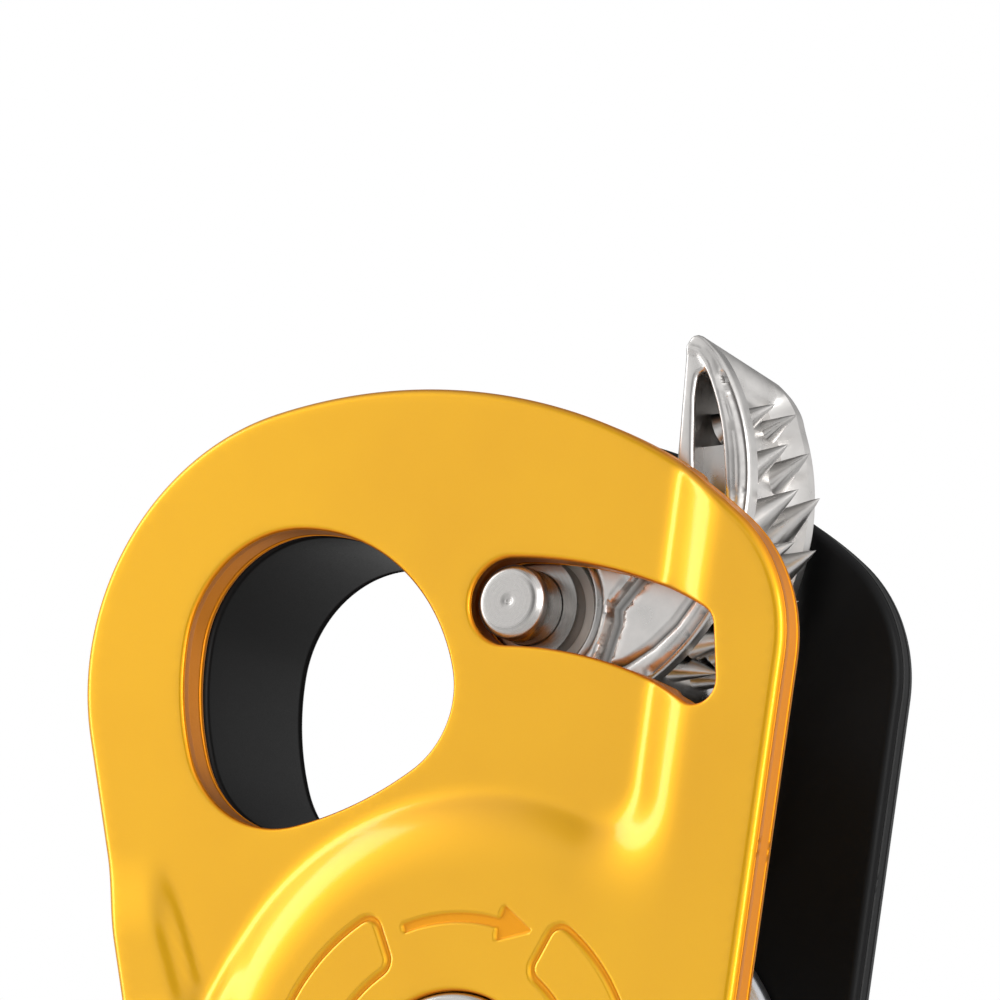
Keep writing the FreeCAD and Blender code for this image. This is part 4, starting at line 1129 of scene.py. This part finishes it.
class PULLEY_OT_cam(bpy.types.Operator):
    """Build the cast cam: grooved cheeks, window, ribs and teeth."""

    bl_idname = "pulley.cam"
    bl_label = "Toothed cam"

    def execute(self, context):
        cam = context.scene.pulley_cam
        window = spaced([PIVOT + np.array(p) for p in WINDOW], 0.25)
        for _ in range(2):
            window = (np.roll(window, 1, 0) + 2 * window + np.roll(window, -1, 0)) / 4
        holes = [circle(PIVOT, 3.0), window]
        marks = [line for points in (ZIGZAG, PAD_EDGE, RIM_LINE, BAR_RIB, RING_LINE)
                 for line in cam_lines(along_line(points, 0.25))]
        relief = Relief(cam_outline(cam), holes, 0.35, [(0.35, 0.35), (0.2, 0.2), (0.3, 0.3)], marks)
        face = cam_face(cam)
        centre = PIVOT + np.array([0.9, 7.5])
        half, cheek = cam.half_width / MM, cam.cheek / MM

        def groove(x, y, z, loop):
            if loop != 0:
                return 0.0
            out = np.hypot(x - centre[0], z - centre[1])
            turn_by = np.degrees(np.arctan2(x - centre[0], z - centre[1]))
            on_arc = smooth((out - (cam.grip_radius / MM - 1.2)) / 0.6) * smooth((turn_by - 52) / 12)
            on_arc *= smooth((150 - turn_by) / 6)
            across = smooth((half - cheek - abs(y) + 0.35) / 0.7)
            return cam.groove_depth / MM * on_arc * across

        vertices, faces, _ = relief.build(-1, face, lambda p: -face(p), groove, 22)
        teeth = cam_teeth(cam)
        # Painted shade in the cheek's grooves, on the window's web and on the teeth's upper sides.
        tones = 0.85 * cam_hollows(vertices[:, [0, 2]]) * (np.abs(vertices[:, 1]) > half - 1.2)
        web = web_slab()
        tones = [*tones, *[0.3] * len(web[0]), *[tone for spike in teeth for tone in spike[2]]]
        vertices, faces = join([(vertices, faces), web] + [spike[:2] for spike in teeth])
        vertices = [leaned_tip(np.array(vertex), half) for vertex in vertices]
        steel = cast_metal("cast_steel", tuple(cam.steel), 0.30)
        piece = make_object("cast_cam", "cam", vertices, faces, steel,
                            tones, 0.75)
        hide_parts("cam")
        return {"FINISHED"}


def web_slab():
    """The thin web that closes the lower part of the window."""
    corners = [(11.7, WEB_TOP), (11.7, 4.0), (14.2, 4.0), (14.5, 6.9), (14.4, WEB_TOP)]
    thick = 3.3
    front = [(PIVOT[0] + x, -thick, PIVOT[1] + z) for x, z in corners]
    back = [(x, thick, z) for x, _, z in front]
    count = len(corners)
    faces = [tuple(range(count)), tuple(range(count, 2 * count))[::-1]]
    faces += [(i, i + count, (i + 1) % count + count, (i + 1) % count) for i in range(count)]
    return front + back, faces


def leaned_tip(vertex, half):
    """The cam's top ridge drops towards the back."""
    share = smooth((vertex[2] - PIVOT[1] - 11.5) / 4.0) * (vertex[1] + half) / (2 * half)
    return vertex + np.array([0.8, 0, -1.5]) * share


def cam_lines(line):
    """Rows of mesh points along and beside a feature of the cam's face."""
    along = np.gradient(line, axis=0)
    along /= np.linalg.norm(along, axis=1)[:, None]
    left = np.stack([-along[:, 1], along[:, 0]], 1)
    return [line + left * gap for gap in (-0.6, -0.4, -0.2, 0, 0.2, 0.4, 0.6)]


class PULLEY_OT_finishes(bpy.types.Operator):
    """Give the parts that keep their CAD shape their materials."""

    bl_idname = "pulley.finishes"
    bl_label = "Small parts"

    def execute(self, context):
        parts = context.scene.pulley_parts
        turned = tuple(parts.turned)
        race = turned_metal("bearing_steel", turned, 0.18, (0, 0))
        collar = turned_metal("collar_steel", tinted(turned, 0.6), 0.22, PIVOT)
        wire = cast_metal("spring_wire", tinted(turned, 0.9), 0.3)
        rubber = moulded("seal_rubber", tuple(parts.rubber), 0.55)
        plastic = moulded("washer_plastic", tuple(parts.plastic), 0.45)
        brass = turned_metal("cage_brass", tuple(parts.brass), 0.3, (0, 0))
        chosen = {
            "bearing_outer_ring": race, "bearing_inner_ring": race, "bearing_balls": race,
            "bearing_cage": brass, "bearing_seal_front": rubber, "bearing_seal_rear": rubber,
            "front_spacer": race, "rear_spacer": race, "slide_washer": plastic,
            "cam_axle": collar, "cam_washer": plastic, "cam_spring": wire,
            "detent_ball": race, "detent_spring": wire,
            "button_retaining_pin": collar, "button_spring": wire,
        }
        for node, material in chosen.items():
            finish_node(node, material)
        return {"FINISHED"}


class PULLEY_PT_panel(bpy.types.Panel):
    """Lists the parts of the pulley."""

    bl_idname = "PULLEY_PT_panel"
    bl_label = "Rope-Clamp Pulley"
    bl_space_type = "VIEW_3D"
    bl_region_type = "UI"
    bl_category = "Pulley"

    def draw(self, context):
        for operator in OPERATORS:
            self.layout.operator(operator.bl_idname)
        for group in ("pulley_plates", "pulley_cam", "pulley_parts", "pulley_stage"):
            settings = getattr(context.scene, group)
            box = self.layout.box()
            for name in settings.__annotations__:
                box.prop(settings, name)


OPERATORS = (
    PULLEY_OT_stage, PULLEY_OT_moving_plate, PULLEY_OT_fixed_plate, PULLEY_OT_sheave,
    PULLEY_OT_axle, PULLEY_OT_button, PULLEY_OT_cam, PULLEY_OT_finishes,
)
SETTINGS = {
    "pulley_plates": PulleyPlateSettings,
    "pulley_cam": PulleyCamSettings,
    "pulley_parts": PulleySmallPartSettings,
    "pulley_stage": PulleyStageSettings,
}


def register():
    for settings in SETTINGS.values():
        bpy.utils.register_class(settings)
    for operator in OPERATORS:
        bpy.utils.register_class(operator)
    bpy.utils.register_class(PULLEY_PT_panel)
    for name, settings in SETTINGS.items():
        setattr(bpy.types.Scene, name, PointerProperty(type=settings))


def unregister():
    for name in SETTINGS:
        delattr(bpy.types.Scene, name)
    bpy.utils.unregister_class(PULLEY_PT_panel)
    for operator in reversed(OPERATORS):
        bpy.utils.unregister_class(operator)
    for settings in reversed(list(SETTINGS.values())):
        bpy.utils.unregister_class(settings)


def main():
    register()
    bpy.ops.pulley.stage()
    bpy.ops.pulley.moving_plate()
    bpy.ops.pulley.fixed_plate()
    bpy.ops.pulley.sheave()
    bpy.ops.pulley.axle()
    bpy.ops.pulley.button()
    bpy.ops.pulley.cam()
    bpy.ops.pulley.finishes()
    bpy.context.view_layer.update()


if __name__ == "__main__":
    main()
